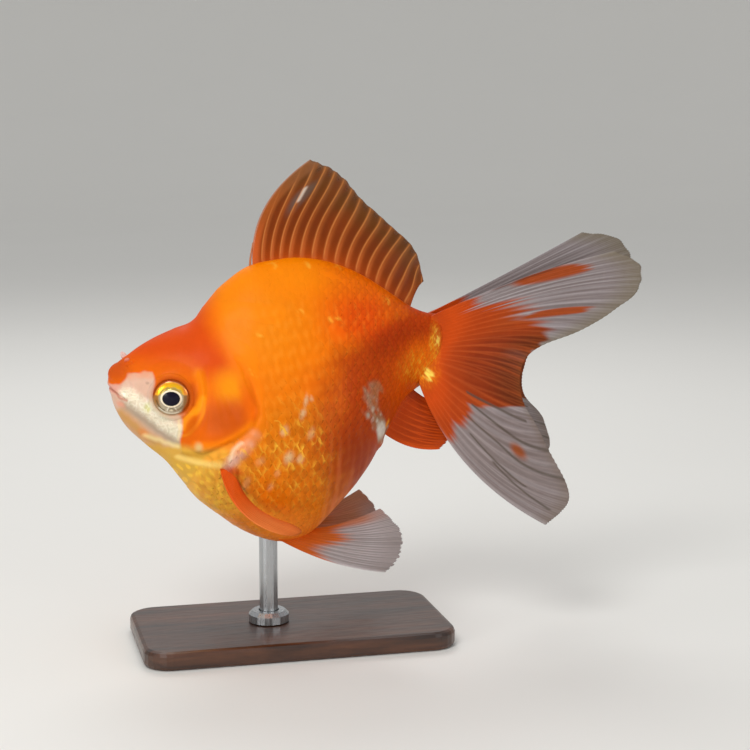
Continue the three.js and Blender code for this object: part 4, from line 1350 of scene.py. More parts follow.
def scales_of(sign):
    """Points, faces, colours, shine and unwrap of the scales of one side."""
    sizes = settings()[0]
    rows = RowMap(sizes.scale_height / MM)
    roots, x, z = placed_roots(rows, sizes.scale_length / MM)
    chance = np.random.default_rng(SCALE_SEEDS[sign]).uniform(-1, 1, (len(roots), 3))
    style = scale_style(x, z)
    points = scale_plates(rows, roots, style, chance) * (1, sign, 1)
    tint, shine = scale_paint(points, style, z, chance)
    return (points.reshape(-1, 3), scale_faces(len(roots)), tint.reshape(-1, 3), shine.ravel(),
            scale_unwrap(rows, roots).reshape(-1, 2))


def glint_masks(x, z):
    """Painted glints at the tail's root: a golden halo of painted reflection and the brightest
    painted highlights in it.
    """
    fine = bump(waves(x * 1.4, z, 1.2, 64), 0.35)
    glint_halo = np.maximum(spot(x, z, (84.8, 45.0), (3.2, 3.4), 0, 0.7),
                       spot(x, z, (87.6, 52.6), (1.5, 5.0), 0, 0.7))
    glint_halo = np.maximum(glint_halo, 0.7 * spot(x, z, (82.0, 47.4), (5, 3.6), 0, 0.8))
    wave = 0.5 * waves(x + z, z, 1.3, 66)
    core = np.maximum(spot(x + wave, z - wave, (86.0, 44.4), (1.1, 1.2), 0, 0.6),
                      0.75 * fine * spot(x, z, (88.2, 54.0), (0.8, 2.2), 0, 0.7))
    return np.clip(glint_halo * (0.35 + 0.65 * fine), 0, 1), core


def sharpen_rims(made):
    """Lets the shading break at each scale's rim."""
    order = np.full(SCALE_POINTS, -9)
    order[SCALE_RIM] = np.arange(len(SCALE_RIM))
    ends = np.empty(2 * len(made.data.edges), np.int32)
    made.data.edges.foreach_get("vertices", ends)
    ends = order[ends.reshape(-1, 2) % SCALE_POINTS]
    apart = np.abs(ends[:, 0] - ends[:, 1])
    on_rim = (ends.min(1) >= 0) & ((apart == 1) | (apart == len(SCALE_RIM) - 1))
    made.data.attributes.new("sharp_edge", "BOOLEAN", "EDGE").data.foreach_set("value", on_rim)


def unwrap_points(made, uv):
    """Stores a place on the unwrap for every point, in a map named OFBake."""
    layer = made.data.uv_layers.new(name="OFBake")
    corners = np.empty(len(made.data.loops), np.int32)
    made.data.loops.foreach_get("vertex_index", corners)
    layer.data.foreach_set("uv", uv[corners].astype(np.float32).ravel())


class GOLDFISH_OT_scales(bpy.types.Operator):
    """Lays the overlapping scales over the skin, one piece on each side"""
    bl_idname = "goldfish.scales"
    bl_label = "Scales"

    def execute(self, context):
        material = wet_material("Wet scales", mottle=0.10, rough=(0.38, 0.54), coat=0.02,
                                flesh=0.08)
        for side, sign in SIDES.items():
            points, faces, tint, shine, uv = scales_of(sign)
            made = mesh_object(f"scales_{side}", points, faces, {"tint": tint, "shine": shine})
            unwrap_points(made, uv)
            sharpen_rims(made)
            finish_piece(made, material, "skin")
        return {"FINISHED"}


# ---- Eyes -----------------------------------------------------------------------------------

class GOLDFISH_OT_eyes(bpy.types.Operator):
    """Makes the two domed eyes with pupil, ringed iris and clear wet surface"""
    bl_idname = "goldfish.eyes"
    bl_label = "Eyes"

    def execute(self, context):
        material = wet_material("Eye glass", mottle=0.10, rough=(0.20, 0.26), coat=0.2,
                                coat_rough=0.02, bump_height=0.00001, flesh=0.0)
        for side, sign in SIDES.items():
            centre, axis, up = eye_axes(sign)
            points, faces = eyeball(centre, axis, up)
            tint, shine = eye_paint(points, centre, axis, up)
            made = mesh_object(f"eyeball_{side}", points, faces, {"tint": tint, "shine": shine})
            finish_piece(made, material, "eye", f"eye_{side}")
        return {"FINISHED"}


EYE_SIDES = 168


EYE_FORM = {"base": 0.15, "dome": 1.45, "pupil": 0.30, "groove": 0.16, "depth": 3.6}


def eyeball(centre, axis, up):
    """Points and faces of an eye: a low dome in front and a deep bowl behind it."""
    radius = settings()[0].eye_radius / MM
    out = np.linspace(0.0, 1.0, 58)[1:]
    dome = EYE_FORM["dome"] * np.sqrt(1 - (out * 0.985) ** 2)
    pupil = EYE_FORM["pupil"] * bump(radius * out, 1.9)
    groove = EYE_FORM["groove"] * bump(radius * out - 2.75, 0.35)
    front = np.stack([radius * out, EYE_FORM["base"] + dome + pupil - groove], -1)
    turn = np.linspace(0, math.pi / 2, 12)[1:-1]
    bowl = EYE_FORM["base"] - EYE_FORM["depth"] * np.sin(turn)
    rear = np.stack([radius * np.cos(turn), bowl], -1)
    rings, _ = turned(np.concatenate([front, rear]), EYE_SIDES, centre, axis, up)
    top = EYE_FORM["base"] + EYE_FORM["dome"] + EYE_FORM["pupil"]
    return capped(rings, [centre + axis * top,
                          centre + axis * (EYE_FORM["base"] - EYE_FORM["depth"])])


IRIS_LINES = (  # path, half width, strength and colour
    ([[-3.75, -0.6], [-3.45, -1.6], [-2.7, -2.6], [-1.9, -3.15]], 0.16, 0.85, "5E4A26"),
    ([[-3.2, -2.5], [-1.6, -3.7], [0.2, -4.0], [1.8, -3.7]], 0.14, 0.75, "F2E6CE"),
    ([[-0.75, -2.3], [-1.15, -3.3]], 0.13, 0.80, "F6ECD8"),
    ([[0.75, -2.3], [1.35, -3.2]], 0.12, 0.80, "F0E4CC"),
)


def eye_paint(points, centre, axis, up):
    """Colours and shine of an eye: pupil, cream line, gold iris above and silver below."""
    colours = settings()[1]
    away = points - centre
    rear = np.cross(up, axis)
    rear = rear * np.sign(rear[0])
    height, across, above = away @ axis, away @ rear, away @ up
    radius, turn = np.hypot(across, above), np.arctan2(above, across)
    pupil = np.hypot(across / 2.26, above / 1.90)
    streaks = 0.5 + 0.5 * np.sin(turn * 46 + 5 * np.sin(turn * 5)) * np.sin(turn * 17 + 2)
    inner = 3.05 + 0.35 * np.abs(across) / 3 + 0.10 * np.sin(turn * 11)
    gold = (smooth(above + 0.10 * np.sin(turn * 9), 0.75, 1.25)
            * smooth(radius, inner - 0.2, inner) * (1 - smooth(radius, 4.15, 4.4)))
    between_rings = smooth(above, 0.6, 1.4) * (1 - smooth(radius, inner - 0.1, inner + 0.15))
    front = smooth(-across, 2.0, 3.4) * smooth(above, -3.4, -0.6)
    behind = smooth(across, 2.2, 3.4) * (1 - smooth(above, 0.4, 1.8))
    low = 1 - smooth(above, -0.6, 0.6)
    upper_shade = smooth(above, 0.2, 1.0)
    low_line = [[0.8, -3.2], [1.8, -2.9], [2.7, -2.2]]
    arc = [[-0.85, -3.05], [-0.1, -2.72], [0.7, -3.0]]
    tint = painted(
        colours.iris_silver,
        (0.40 * streaks, "D8CCB4"),
        (0.90 * front * smooth(radius, 3.0, 3.5), "A0641A"),
        (0.85 * behind * smooth(radius, 2.75, 3.4), "8E5A1C"),
        (0.85 * behind * smooth(radius, 3.7, 4.3), "B4540A"),
        (0.6 * between_rings, "8C8420"),
        (0.7 * between_rings * (0.4 + 0.6 * streaks), "D8B040"),
        (gold, colours.iris_gold),
        (0.75 * gold * bump(radius - 3.45, 0.35), "FFC61E"),
        (0.65 * gold * smooth(radius, 3.75, 4.2), "FF9E3C"),
        (0.85 * gold * smooth(across, 2.6, 3.6), "F08A40"),
        *((strength * stroke(across, above, path, wide, 0.7), code)
          for path, wide, strength, code in IRIS_LINES),
        (0.85 * spot(across, above, (-0.1, -3.15), (0.34, 0.22), 0, 0.7), "E6D2B0"),
        (0.65 * stroke(across, above, arc, 0.14, 0.7), "6A5A3C"),
        (0.55 * low * stroke(across, above, low_line, 0.28, 0.7), "7A5428"),
        # painted shade of the groove round the eye, partly its dark edge: red-brown above, brown
        # and grey below
        (upper_shade * smooth(radius, 4.2, 4.45), "9A3E04"),
        ((1 - upper_shade) * (1 - low * 0.4) * smooth(radius, 4.25, 4.5), "96581C"),
        (low * 0.6 * smooth(radius, 4.3, 4.6) * (1 - behind), "A8926C"),
        (1 - smooth(pupil, 1.19, 1.26), colours.iris_ring),
        (1 - smooth(pupil, 0.98, 1.04), "050308"),
        (0.9 * (1 - smooth(pupil, 0.80, 0.98)), colours.pupil),
        (smooth(-height, -0.4, 0.6), "3A2010"))
    return tint, 0.45 * smooth(pupil, 1.2, 1.3) * (1 - smooth(radius, 4.2, 4.5))


# ---- Fins -----------------------------------------------------------------------------------

# In a fin, s is the share of its root from front to back, and t the reach from root to edge.
FIN_FORM = {  # rays, columns for each ray, rows, depth of the folds, scallops, stoutness of rays
    "dorsal_fin": (16, 16, 80, 0.05, 0.006, 0.60),
    "pectoral_fin": (12, 14, 44, 0.08, 0.015, 0.7),
    "pelvic_fin": (12, 16, 56, 0.12, 0.012, 0.4),
    "anal_fin": (9, 14, 40, 0.16, 0.012, 0.7),
    "tail_left": (26, 14, 110, 0.07, 0.006, 0.14),
    "tail_right": (26, 14, 110, 0.07, 0.006, 0.14),
}
SPINE = {"path": [[37.8, 0, 72.6], [38.0, 0, 76.6], [38.7, 0, 81.0]], "rings": 12, "sides": 10,
         "root": 0.42, "taper": 0.28, "colour": "B4704C"}


def fin_sheet(name, sign, s, t):
    """Points of the middle of a fin."""
    fin = FINS[name]
    mirror = np.array([1, sign, 1])
    root, middle, edge = (along(np.asarray(fin[key]) * mirror, s)
                          for key in ("root", "middle", "edge"))
    f = t[..., None]
    points = root * (1 - f) * (1 - 2 * f) + middle * 4 * f * (1 - f) + edge * f * (2 * f - 1)
    points[..., 1] += fin["ripple"] * t * np.sin(2 * math.pi * (2.2 * s + 0.4 * t))
    return points


def ray_phase(name, s, t):
    """How far a place is from the nearest ray, as a share of the gap between two rays."""
    if name == "dorsal_fin":
        swept = (s + (0.16 - 0.11 * s) * t ** 3.5
                 - 0.022 * np.sin(math.pi * t) * smooth(s, 0.35, 0.6))
        return ((swept - 0.07) / 0.0635 + 0.5) % 1 - 0.5
    return (s * FIN_FORM[name][0]) % 1 - 0.5


def ray_profile(name, s, t):
    """1 on the middle of a ray and 0 between rays. The dorsal's rays divide once near their
    tips, and the others twice on their way out."""
    phase = ray_phase(name, s, t)
    if name == "dorsal_fin":
        twig = np.abs(np.abs(phase) - 0.10 * smooth(t, 0.74, 1.0))
        width = 0.10 + 0.04 * smooth(t, 0.2, 0.8)
    else:
        twig = np.abs(np.abs(phase) - 0.24 * smooth(t, 0.30, 0.72))
        twig = np.abs(twig - 0.12 * smooth(t, 0.62, 0.95))
        width = 0.14 - 0.075 * smooth(t, 0.15, 0.85)
    return bump(twig, width)


def fin_thickness(name, t, ray, lead):
    """Thickness of a fin: web, rays with their joints, and flesh at its root."""
    sizes = settings()[0]
    rows, stout = FIN_FORM[name][2], FIN_FORM[name][5]
    web = sizes.web_thickness / MM * (1 - 0.35 * t)
    bone = (sizes.ray_thickness / MM * stout * (1 - 0.72 * smooth(t, 0, 1))
            * (0.75 + 0.8 * lead))
    joints = 0.04 * np.sin(t * rows * 2.2) * smooth(t, 0.2, 0.4)
    flesh = 1.1 * bump(t, 0.05)
    thick = web + bone * np.maximum(ray, 0.8 * np.clip(lead, 0, 1)) * (1 + joints) + flesh
    return thick * (1 - 0.55 * smooth(t, 0.93, 1.0))


def fin_piece(name, sign):
    """Points, faces and the share, reach and ray at every point of a fin."""
    rays, per_ray, rows, fold, scallop, _ = FIN_FORM[name]
    s, t = np.meshgrid(np.linspace(0, 1, rays * per_ray + 1), np.linspace(0, 1, rows + 1),
                       indexing="ij")
    ray = ray_profile(name, s, t)
    tip = smooth(t, 0.8, 1.0)
    fray = 1 - scallop * (1 - ray) * tip - 0.8 * scallop * waves(s * 40, 0 * s, 1.7, 41) * tip
    sheet = fin_sheet(name, sign, s, np.clip(t * fray, 0, 1))
    folds = (0.4 * np.cos(2 * math.pi * ray_phase(name, s, t)) * smooth(t, 0.1, 0.5)
             + waves(s * rays, t * 3, 3.6, 42) * smooth(t, 0.15, 0.7))
    sheet = sheet + grid_normals(sheet) * (fold * folds * smooth(t, 0, 0.3))[..., None]
    lead = bump(s * rays, 0.7) + bump((1 - s) * rays, 0.7) * 0.5
    half = grid_normals(sheet) * fin_thickness(name, t, ray, lead)[..., None] / 2
    points, faces = closed_sheet(sheet + half, sheet - half)
    return points, faces, *(np.tile(value.ravel(), 2)
                            for value in (s, t, np.maximum(ray, np.clip(lead, 0, 1))))


def first_spine():
    """The short pale spine that stands in front of the dorsal fin."""
    share = np.linspace(0, 1, SPINE["rings"])
    path = along(SPINE["path"], share)
    turn = np.linspace(0, 2 * math.pi, SPINE["sides"], endpoint=False)
    ring = np.stack([np.cos(turn), np.sin(turn), 0 * turn], -1)
    wide = SPINE["root"] - SPINE["taper"] * share
    return capped(path[:, None] + wide[:, None, None] * ring, path[[0, -1]])


def dorsal_paint(s, t, ray):
    """Colours of the dorsal fin, and how solid it is."""
    mottle = waves(s * 30, t * 6, 3, 61)
    web = painted(settings()[1].web,
                  (0.9 * np.exp(-t / 0.12), "C04C04"),
                  (0.7 * smooth(t, 0.45, 0.85), "5C3810"),
                  (0.2 * smooth(t, 0.85, 1.0), "3C2C1A"),
                  (0.4 * smooth(s, 0.8, 1.0), "70260C"),
                  (0.25 * np.clip(mottle, 0, 1), "8E3A08"),
                  # painted reflection: the grey halo round the white glint
                  (0.75 * spot(s, t, (0.168, 0.66), (0.032, 0.15), 0, 0.8), "5C5650"))
    rays = painted("C4642A",
                   (smooth(t, 0.10, 0.45), "A2521E"),
                   (0.9 * smooth(t, 0.45, 0.9), "80502C"))
    front_rays = painted(rays, (0.5 * (1 - smooth(t, 0.2, 0.5)), "C8501A"))
    front = 1 - smooth(s - 0.05 * t, 0.015, 0.05)
    phase = ray_phase("dorsal_fin", s, t)
    band, line = bump(phase - 0.07, 0.19), bump(phase + 0.08, 0.05)
    white_glint = [[0.174, 0.250], [0.164, 0.273], [0.149, 0.300]]
    tint = painted(web,
                   (0.75 * np.maximum(ray, band) * (1 - 0.25 * smooth(s, 0.85, 1)), rays),
                   (0.65 * line * smooth(t, 0.03, 0.12), "D08444"),
                   (0.85 * front, front_rays),
                   # painted highlight: the white glint along a ray
                   (0.7 * stroke(s, t * 0.4, white_glint, 0.0075, 1.0), "D8CCBC"),
                   (0.95 * bump(t, 0.035), "F06E0A"),
                   (0.6 * (1 - smooth(s, 0.004, 0.012)) * smooth(t, 0.1, 0.3), "B8907C"),
                   (0.5 * smooth(t, 0.965, 1.0), "7A5A44"))
    return tint, 1 - (1 - ray) * (0.06 * smooth(t, 0.1, 0.4) + 0.12 * smooth(t, 0.8, 1))


def pectoral_paint(sign, s, t, ray):
    """Colours of a pectoral fin, and how solid it is."""
    tint = painted("E05A12",
                   (0.85 * smooth(t, 0.25, 0.75) * (1 - 0.5 * smooth(s, 0.7, 1.0)), "EA8442"),
                   # painted shade along the inner edge, where the fin lies by the body near its
                   # root
                   (0.7 * smooth(s, 0.84, 1.0) * (1 - smooth(t, 0.2, 0.7)), "9A3206"),
                   (0.4 * smooth(t, 0.9, 1.0), "B85A1C"),
                   (0.20 * (1 - ray), "B8480A"))
    return tint, 1 - 0.06 * (1 - ray) * smooth(t, 0.3, 0.8)


def pelvic_paint(sign, s, t, ray):
    """Colours of a pelvic fin, milky with a brown rear edge, and how solid it is."""
    reach = t - 0.18 + 0.10 * np.sin(s * 9) + 0.03 * waves(s * 90, t * 4, 3, 62)
    white = smooth(reach - 0.30 * np.abs(s - 0.42) ** 0.9, 0.08, 0.30)
    if sign > 0:
        brown, brown_code = 1 - 0.45 * smooth(t, 0.75, 1.0) * (1 - smooth(s, 0.6, 0.9)), "A8683C"
    else:
        brown, brown_code = smooth(s, 0.80, 0.95) * (1 - 0.5 * smooth(t, 0.72, 0.98)), "8C5638"
    white = white * (1 - 0.85 * brown)
    between_rays = bump(s * FIN_FORM["pelvic_fin"][0] % 1, 0.12)
    tint = painted("C8560C",
                   (0.45 * smooth(t, 0.15, 0.4), "B4622A"),
                   (0.30 * (1 - ray) * smooth(t, 0.1, 0.4), "8E3C10"),
                   (0.7 * brown * smooth(t, 0.35, 0.9), brown_code),
                   (white, "948886"),
                   (0.45 * white * ray, "BAB0B2"),
                   (0.35 * white * between_rays, "6E6466"),
                   (0.5 * white * smooth(t, 0.7, 1.0), "807470"),
                   (0.7 * (1 - smooth(s, 0.0, 0.02)) * smooth(t, 0.5, 0.7), "D8D0D0"))
    return tint, 1 - (1 - ray) * (0.08 + 0.16 * white)


def anal_paint(sign, s, t, ray):
    """Colours of an anal fin, and how solid it is."""
    tint = painted("C2440A",
                   (0.45 * ray, "D0561A"),
                   (0.50 * (1 - ray) * smooth(t, 0.1, 0.4), "7E2A06"),
                   (0.55 * smooth(s, 0.72, 0.95) * (1 - smooth(t, 0.2, 0.6)), "7A2008"),
                   (0.45 * smooth(t, 0.75, 1.0), "CC4C10"),
                   (0.25 * smooth(t, 0.97, 1.0), "D89A80"))
    return tint, 1 - 0.10 * (1 - ray) * smooth(t, 0.3, 0.9)


PAIRED_PAINTS = {"pectoral_fin": pectoral_paint, "pelvic_fin": pelvic_paint,
                 "anal_fin": anal_paint}
TAIL_STREAKS = (  # shares and reaches of the ends, width in shares
    ((0.046, 0.43), (0.066, 0.80), 0.075),
    ((0.345, 0.49), (0.322, 0.88), 0.020),
)
# Paths of the tail's folds, along which their shadows are painted.
TAIL_FOLDS = (
    ((0.731, 0.38), (0.745, 0.57), (0.766, 0.78), (0.776, 0.99)),
    ((0.786, 0.33), (0.796, 0.54), (0.818, 0.70), (0.830, 0.99)),
    ((0.842, 0.36), (0.862, 0.55), (0.884, 0.74)),
    ((0.87, 0.53), (0.904, 0.71), (0.938, 0.94)),
    ((0.70, 0.36), (0.70, 0.62), (0.71, 0.9)),
)


TAIL_WHITE = (  # shares, and the reach at which the white begins
    [0, 0.05, 0.15, 0.2, 0.24, 0.33, 0.36, 0.44, 0.55, 0.66, 0.70, 0.735, 0.79, 0.87, 0.93, 1.0],
    [0.20, 0.21, 0.24, 0.36, 0.40, 0.47, 0.58, 0.90, 1.4, 1.1, 0.62, 0.37, 0.33, 0.27, 0.30, 0.34])


def streak_mask(s, t, streak, start, end, width):
    """1 on a brown streak that tapers at both its ends, which are shares and reaches."""
    (s0, t0), (s1, t1) = start, end
    f = np.clip((t - t0) / (t1 - t0), 0, 1)
    taper = np.sqrt(np.clip(np.sin(math.pi * (0.06 + 0.90 * f)), 0.02, 1))
    off = np.abs(s + 0.004 * streak - (s0 + (s1 - s0) * f)) / (width * taper)
    begun = smooth(t, t0 - 0.04, t0 + 0.04)
    ended = smooth(t + 0.02 * streak, t1 - 0.06, t1 + 0.02)
    return (1 - smooth(off, 0.55, 1.25)) * begun * (1 - ended)


def tail_orange(s, t, ray, streak):
    """Colours of the tail's inner part, darkest in the fork between its lobes."""
    centre = smooth(s, 0.34, 0.46) * (1 - smooth(s, 0.66, 0.74))
    return painted(
        settings()[1].fin,
        (0.75 * smooth(t, 0.10, 0.26), "A63C0E"),
        (0.55 * smooth(t, 0.26, 0.45) * (1 - centre), "94451C"),
        (0.80 * centre * smooth(t, 0.20, 0.50), "7C2A0A"),
        (0.80 * centre * smooth(t, 0.48, 0.86), "54260C"),
        (0.25 * centre * smooth(t, 0.88, 1.0), "6E4420"),
        (0.16 * ray * smooth(t, 0.05, 0.2), "CC6A34"),
        (0.12 * (1 - ray) * smooth(t, 0.08, 0.3), "6A2206"),
        (0.25 * np.clip(streak, 0, 1) * smooth(t, 0.15, 0.4), "C05420"),
        (0.8 * (1 - smooth(t, 0.0, 0.12)), "B43E08"))


def tail_milky(s, t, ray, streak, start):
    """Colours of the tail's outer part, from the reach where the white begins."""
    return painted(
        settings()[1].tail_white,
        (0.35 * (1 - smooth(t - start, 0.0, 0.25)), "9C9294"),
        (0.42 * np.clip(streak, 0, 1), "B2AAAC"),
        (0.26 * np.clip(-streak, 0, 1), "6C5E5A"),
        (0.30 * ray, "A2989A"),
        (0.30 * smooth(s, 0.6, 0.8), "7E6A62"),
        (0.16 * (1 - ray) * smooth(t, 0.3, 0.6), "6E6264"),
        (0.55 * smooth(t, 0.82, 1.0) * (1 - smooth(s, 0.4, 0.6)), "766A4A"),
        (0.35 * smooth(t, 0.90, 1.0) * smooth(s, 0.6, 0.7), "6E5A42"))


def tail_paint(name, s, t, ray):
    """Colours of one half of the tail, orange at the root and milky beyond, and how solid."""
    near = name == "tail_left"
    streak = waves(s * 210, t * 2.2, 3, 53)
    jag = (0.025 * waves(s * 60, t * 3, 3, 51) + 0.022 * waves(s * 130, t * 2, 3, 52)
           + 0.03 * streak) * (1 - 0.65 * smooth(s, 0.6, 0.7))
    start = np.interp(s, *TAIL_WHITE) - (0 if near else 0.03)
    soft = 0.035 + 0.06 * smooth(s, 0.10, 0.20) * (1 - smooth(s, 0.36, 0.45))
    white = smooth(t + jag, start - soft, start + soft)
    dark = np.zeros(s.shape)
    for fold in TAIL_FOLDS:
        away = path_distance(s * 3, t, np.array(fold) * (3, 1))[0]
        dark = np.maximum(dark, 1 - smooth(away, 0.004, 0.020))
    top_line = (1 - smooth(np.abs(s - 0.012), 0.006, 0.014)) * smooth(t, 0.3, 0.36)
    top_line = top_line * (1 - smooth(t, 0.62, 0.72))
    brown_spot = spot(s, t, (0.792, 0.715), (0.016, 0.055), 0, 0.6)
    place = fin_sheet(name, 1.0, s, t)
    # painted glints at the tail's root, as on the scales
    glint_halo, glint_cores = glint_masks(place[..., 0], place[..., 2])
    tint = painted(
        tail_orange(s, t, ray, streak), (white, tail_milky(s, t, ray, streak, start)),
        *((0.95 * streak_mask(s, t, streak, *ends_and_width), "A04208")
          for ends_and_width in TAIL_STREAKS[0 if near else 1:]),
        # painted shadows along the tail's folds
        (0.8 * dark, settings()[1].fold), (0.6 * top_line * near, "5A2A1A"),
        (0.9 * brown_spot * near, "94440A"),
        (0.5 * smooth(t, 0.2, 0.4) * bump(1 - s, 0.010), "B4ACAC"),
        (0.8 * glint_halo, "FF9614"), (glint_cores, "FFE060"))
    solid = 1 - (1 - ray) * (0.04 + 0.10 * white) - 0.08 * smooth(t, 0.55, 1.0) * white
    return tint, solid


def make_fin(name, shape, paint, material, slot, *replaced):
    """A fin from its points and faces and its paint of colour and solidity."""
    made = mesh_object(name, *shape, {"tint": paint[0], "solid": paint[1]})
    finish_piece(made, material, slot, *replaced)


class GOLDFISH_OT_fins(bpy.types.Operator):
    """Makes the dorsal, pectoral, pelvic, anal and double tail fins with branching rays"""
    bl_idname = "goldfish.fins"
    bl_label = "Fins"

    def execute(self, context):
        fin_skin = wet_material("Fin", mottle=0.16, coat=0.04, flesh=0.0, metallic=False,
                                clear=True)
        tail_skin = wet_material("Tail fin", mottle=0.20, rough=(0.44, 0.6), coat=0.04,
                                 flesh=0.0, metallic=False, clear=True)
        points, faces, *place = fin_piece("dorsal_fin", 1.0)
        tint, solid = dorsal_paint(*place)
        spine = first_spine()
        spine_tint = np.tile(linear(SPINE["colour"]), (len(spine[0]), 1))
        paint = np.concatenate([tint, spine_tint]), np.append(solid, np.ones(len(spine[0])))
        make_fin("dorsal_sail", joined([(points, faces), spine]), paint, fin_skin, "fin",
                 "dorsal_fin")
        for name, painter in PAIRED_PAINTS.items():
            for side, sign in SIDES.items():
                points, faces, *place = fin_piece(name, sign)
                make_fin(f"{name}_rayed_{side}", (points, faces), painter(sign, *place),
                         fin_skin, "fin", f"{name}_{side}")
        for half in SIDES:
            points, faces, *place = fin_piece(f"tail_{half}", 1.0)
            make_fin(f"tail_fin_{half}", (points, faces), tail_paint(f"tail_{half}", *place),
                     tail_skin, "tail_fin", f"tail_upper_{half}", f"tail_lower_{half}")
        return {"FINISHED"}


# ---- Stand ----------------------------------------------------------------------------------

def wood_material():
    """Dark stained wood whose grain runs along the base."""
    colours = settings()[2]
    material, tree, shader = new_material("Dark stained wood")
    place = object_place(tree, stretch=(1.0, 9.0, 9.0))
    waver = noise(tree, place, 22.0, 5.0, Roughness=0.62, Distortion=0.6)
    pores = noise(tree, place, 190.0, 3.0)
    ramp = add(tree, "ShaderNodeValToRGB", {"Fac": waver})
    ends = ((0.36, colours.wood_dark), (0.66, colours.wood_light))
    for stop, (share, tint) in zip(ramp.color_ramp.elements, ends):
        stop.position = share
        stop.color = (*tint, 1)
    plug(tree, shader, {
        "Base Color": mottled(tree, ramp.outputs["Color"], 420.0, 0.35),
        "Roughness": ranged(tree, pores, 0.35, 0.7, 0.30, 0.46),
        "Normal": bumped(tree, pores, 0.35, 0.00008),
        "Coat Weight": 0.3, "Coat Roughness": 0.2})
    return material


def steel_material():
    """Steel brushed along the rod."""
    material, tree, shader = new_material("Brushed steel")
    brush = noise(tree, object_place(tree, stretch=(60.0, 60.0, 1.5)), 60.0, 3.0)
    plug(tree, shader, {
        "Base Color": mottled(tree, (*settings()[2].steel, 1), 300.0, 0.12),
        "Roughness": ranged(tree, brush, 0.3, 0.7, 0.22, 0.38),
        "Normal": bumped(tree, brush, 0.15, 0.00003), "Metallic": 1.0})
    return material


class GOLDFISH_OT_stand(bpy.types.Operator):
    """Gives the stand's own solids their stained wood and brushed steel"""
    bl_idname = "goldfish.stand"
    bl_label = "Stand"

    def execute(self, context):
        steel = steel_material()
        finishes = {"stand_base": wood_material(), "stand_collar": steel, "stand_rod": steel}
        for name, material in finishes.items():
            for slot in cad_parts[name].material_slots:
                slot.material = material
        return {"FINISHED"}


# ---- Studio ---------------------------------------------------------------------------------

AIM = (71.72, 0.0, 44.53)
VIEW = {"azimuth": -14.0, "elevation": 9.0}
FLOOR = {"radius": 1.6, "bend": 1.2, "rise": 75, "sides": 96}  # metres and degrees
FISH_MIDDLE = (48, 0, 40)
LIGHTS = {  # place from the fish's middle, size, share of the key light's power
    "Key": ((-0.30, -0.42, 0.52), 0.30, 1.0),
    "Fill": ((0.42, -0.58, 0.08), 0.24, 0.24),
    "Low fill": ((-0.42, -0.42, 0.03), 0.20, 0.35),
    "Rim": ((0.05, 0.45, 0.50), 0.35, 0.6),
}


def turned_towards(item, place, direction):
    """Puts a light or camera at a place, looking against a direction, and into the scene."""
    item.location = place
    item.rotation_euler = direction.to_track_quat("Z", "Y").to_euler()
    bpy.context.scene.collection.objects.link(item)
    return item


def studio_floor():
    """A round pale floor that bends up behind."""
    sweep = np.linspace(0, math.radians(FLOOR["rise"]), 24)
    wall = np.stack([FLOOR["radius"] + FLOOR["bend"] * np.sin(sweep),
                     FLOOR["bend"] * (1 - np.cos(sweep))], -1)
    sides = FLOOR["sides"]
    rings, quads = turned([(0.02, 0), *wall], sides, (0, 0, 0), (0, 0, 1.0), (0, 1.0, 0))
    corners = rings.reshape(-1, 3).tolist() + [[0, 0, 0]]
    faces = quads.tolist() + [[len(corners) - 1, i, (i + 1) % sides] for i in range(sides)]
    mesh = bpy.data.meshes.new("studio_floor")
    mesh.from_pydata(corners, [], faces)
    mesh.polygons.foreach_set("use_smooth", np.ones(len(faces), bool))
    material, tree, shader = new_material("Studio floor")
    plug(tree, shader, {"Base Color": mottled(tree, (*settings()[2].floor, 1), 6.0, 0.03),
                        "Roughness": 0.75})
    mesh.materials.append(material)
    floor = bpy.data.objects.new("studio_floor", mesh)
    bpy.context.scene.collection.objects.link(floor)


def studio_lights():
    """A pale surrounding and the four soft lights."""
    world = bpy.data.worlds.new("Studio")
    world.use_nodes = True
    plug(world.node_tree, world.node_tree.nodes["Background"],
         {"Color": (0.88, 0.89, 0.90, 1), "Strength": 0.60})
    bpy.context.scene.world = world
    middle = Vector(in_frame(FISH_MIDDLE))
    for name, (away, size, share) in LIGHTS.items():
        data = bpy.data.lights.new(name, "AREA")
        data.shape = "DISK"
        data.size = size
        data.energy = settings()[2].key_power * share
        turned_towards(bpy.data.objects.new(name, data), middle + Vector(away), Vector(away))


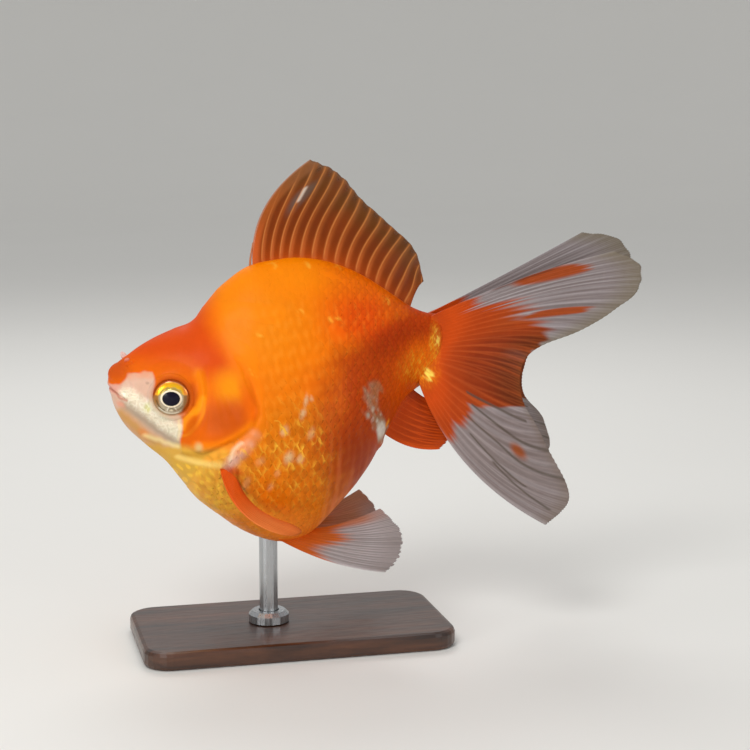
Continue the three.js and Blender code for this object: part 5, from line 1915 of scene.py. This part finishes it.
def studio_camera():
    """The camera, a little in front of the fish's side and above it."""
    stand = settings()[2]
    data = bpy.data.cameras.new("Camera")
    data.lens = stand.lens
    data.sensor_width = 36
    data.clip_start = 0.01
    turn, tilt = math.radians(VIEW["azimuth"]), math.radians(VIEW["elevation"])
    away = Vector((math.sin(turn) * math.cos(tilt), -math.cos(turn) * math.cos(tilt),
                   math.sin(tilt)))
    bpy.context.scene.camera = turned_towards(
        bpy.data.objects.new("Camera", data), Vector(in_frame(AIM)) + away * stand.distance,
        away)


class GOLDFISH_OT_studio(bpy.types.Operator):
    """Sets the pale floor, soft lights and camera"""
    bl_idname = "goldfish.studio"
    bl_label = "Studio"

    def execute(self, context):
        studio_floor()
        studio_lights()
        studio_camera()
        context.scene.view_settings.view_transform = "Standard"
        context.scene.view_settings.look = "None"
        return {"FINISHED"}


# ---- Panel and running ----------------------------------------------------------------------

OPERATORS = (GOLDFISH_OT_skin, GOLDFISH_OT_scales, GOLDFISH_OT_eyes, GOLDFISH_OT_fins,
             GOLDFISH_OT_stand, GOLDFISH_OT_studio)


class GOLDFISH_PT_panel(bpy.types.Panel):
    """Lists the settings and the operators of the goldfish"""
    bl_idname = "GOLDFISH_PT_panel"
    bl_label = "Fancy goldfish"
    bl_space_type = "VIEW_3D"
    bl_region_type = "UI"
    bl_category = "Goldfish"

    def draw(self, context):
        for group in settings():
            for name in group.__annotations__:
                self.layout.prop(group, name)
        for operator in OPERATORS:
            self.layout.operator(operator.bl_idname)


GROUPS = {"goldfish_sizes": GoldfishSizes, "goldfish_colours": GoldfishColours,
          "goldfish_stand": GoldfishStand}


def register():
    """Registers the classes and hangs the settings on the scene."""
    for made in (*GROUPS.values(), *OPERATORS, GOLDFISH_PT_panel):
        bpy.utils.register_class(made)
    for name, group in GROUPS.items():
        setattr(bpy.types.Scene, name, PointerProperty(type=group))


def unregister():
    """Undoes register."""
    for name in GROUPS:
        delattr(bpy.types.Scene, name)
    for made in reversed((*GROUPS.values(), *OPERATORS, GOLDFISH_PT_panel)):
        bpy.utils.unregister_class(made)


def main():
    """Makes all pieces and the studio."""
    register()
    bpy.ops.goldfish.skin()
    bpy.ops.goldfish.scales()
    bpy.ops.goldfish.eyes()
    bpy.ops.goldfish.fins()
    bpy.ops.goldfish.stand()
    bpy.ops.goldfish.studio()


if __name__ == "__main__":
    main()
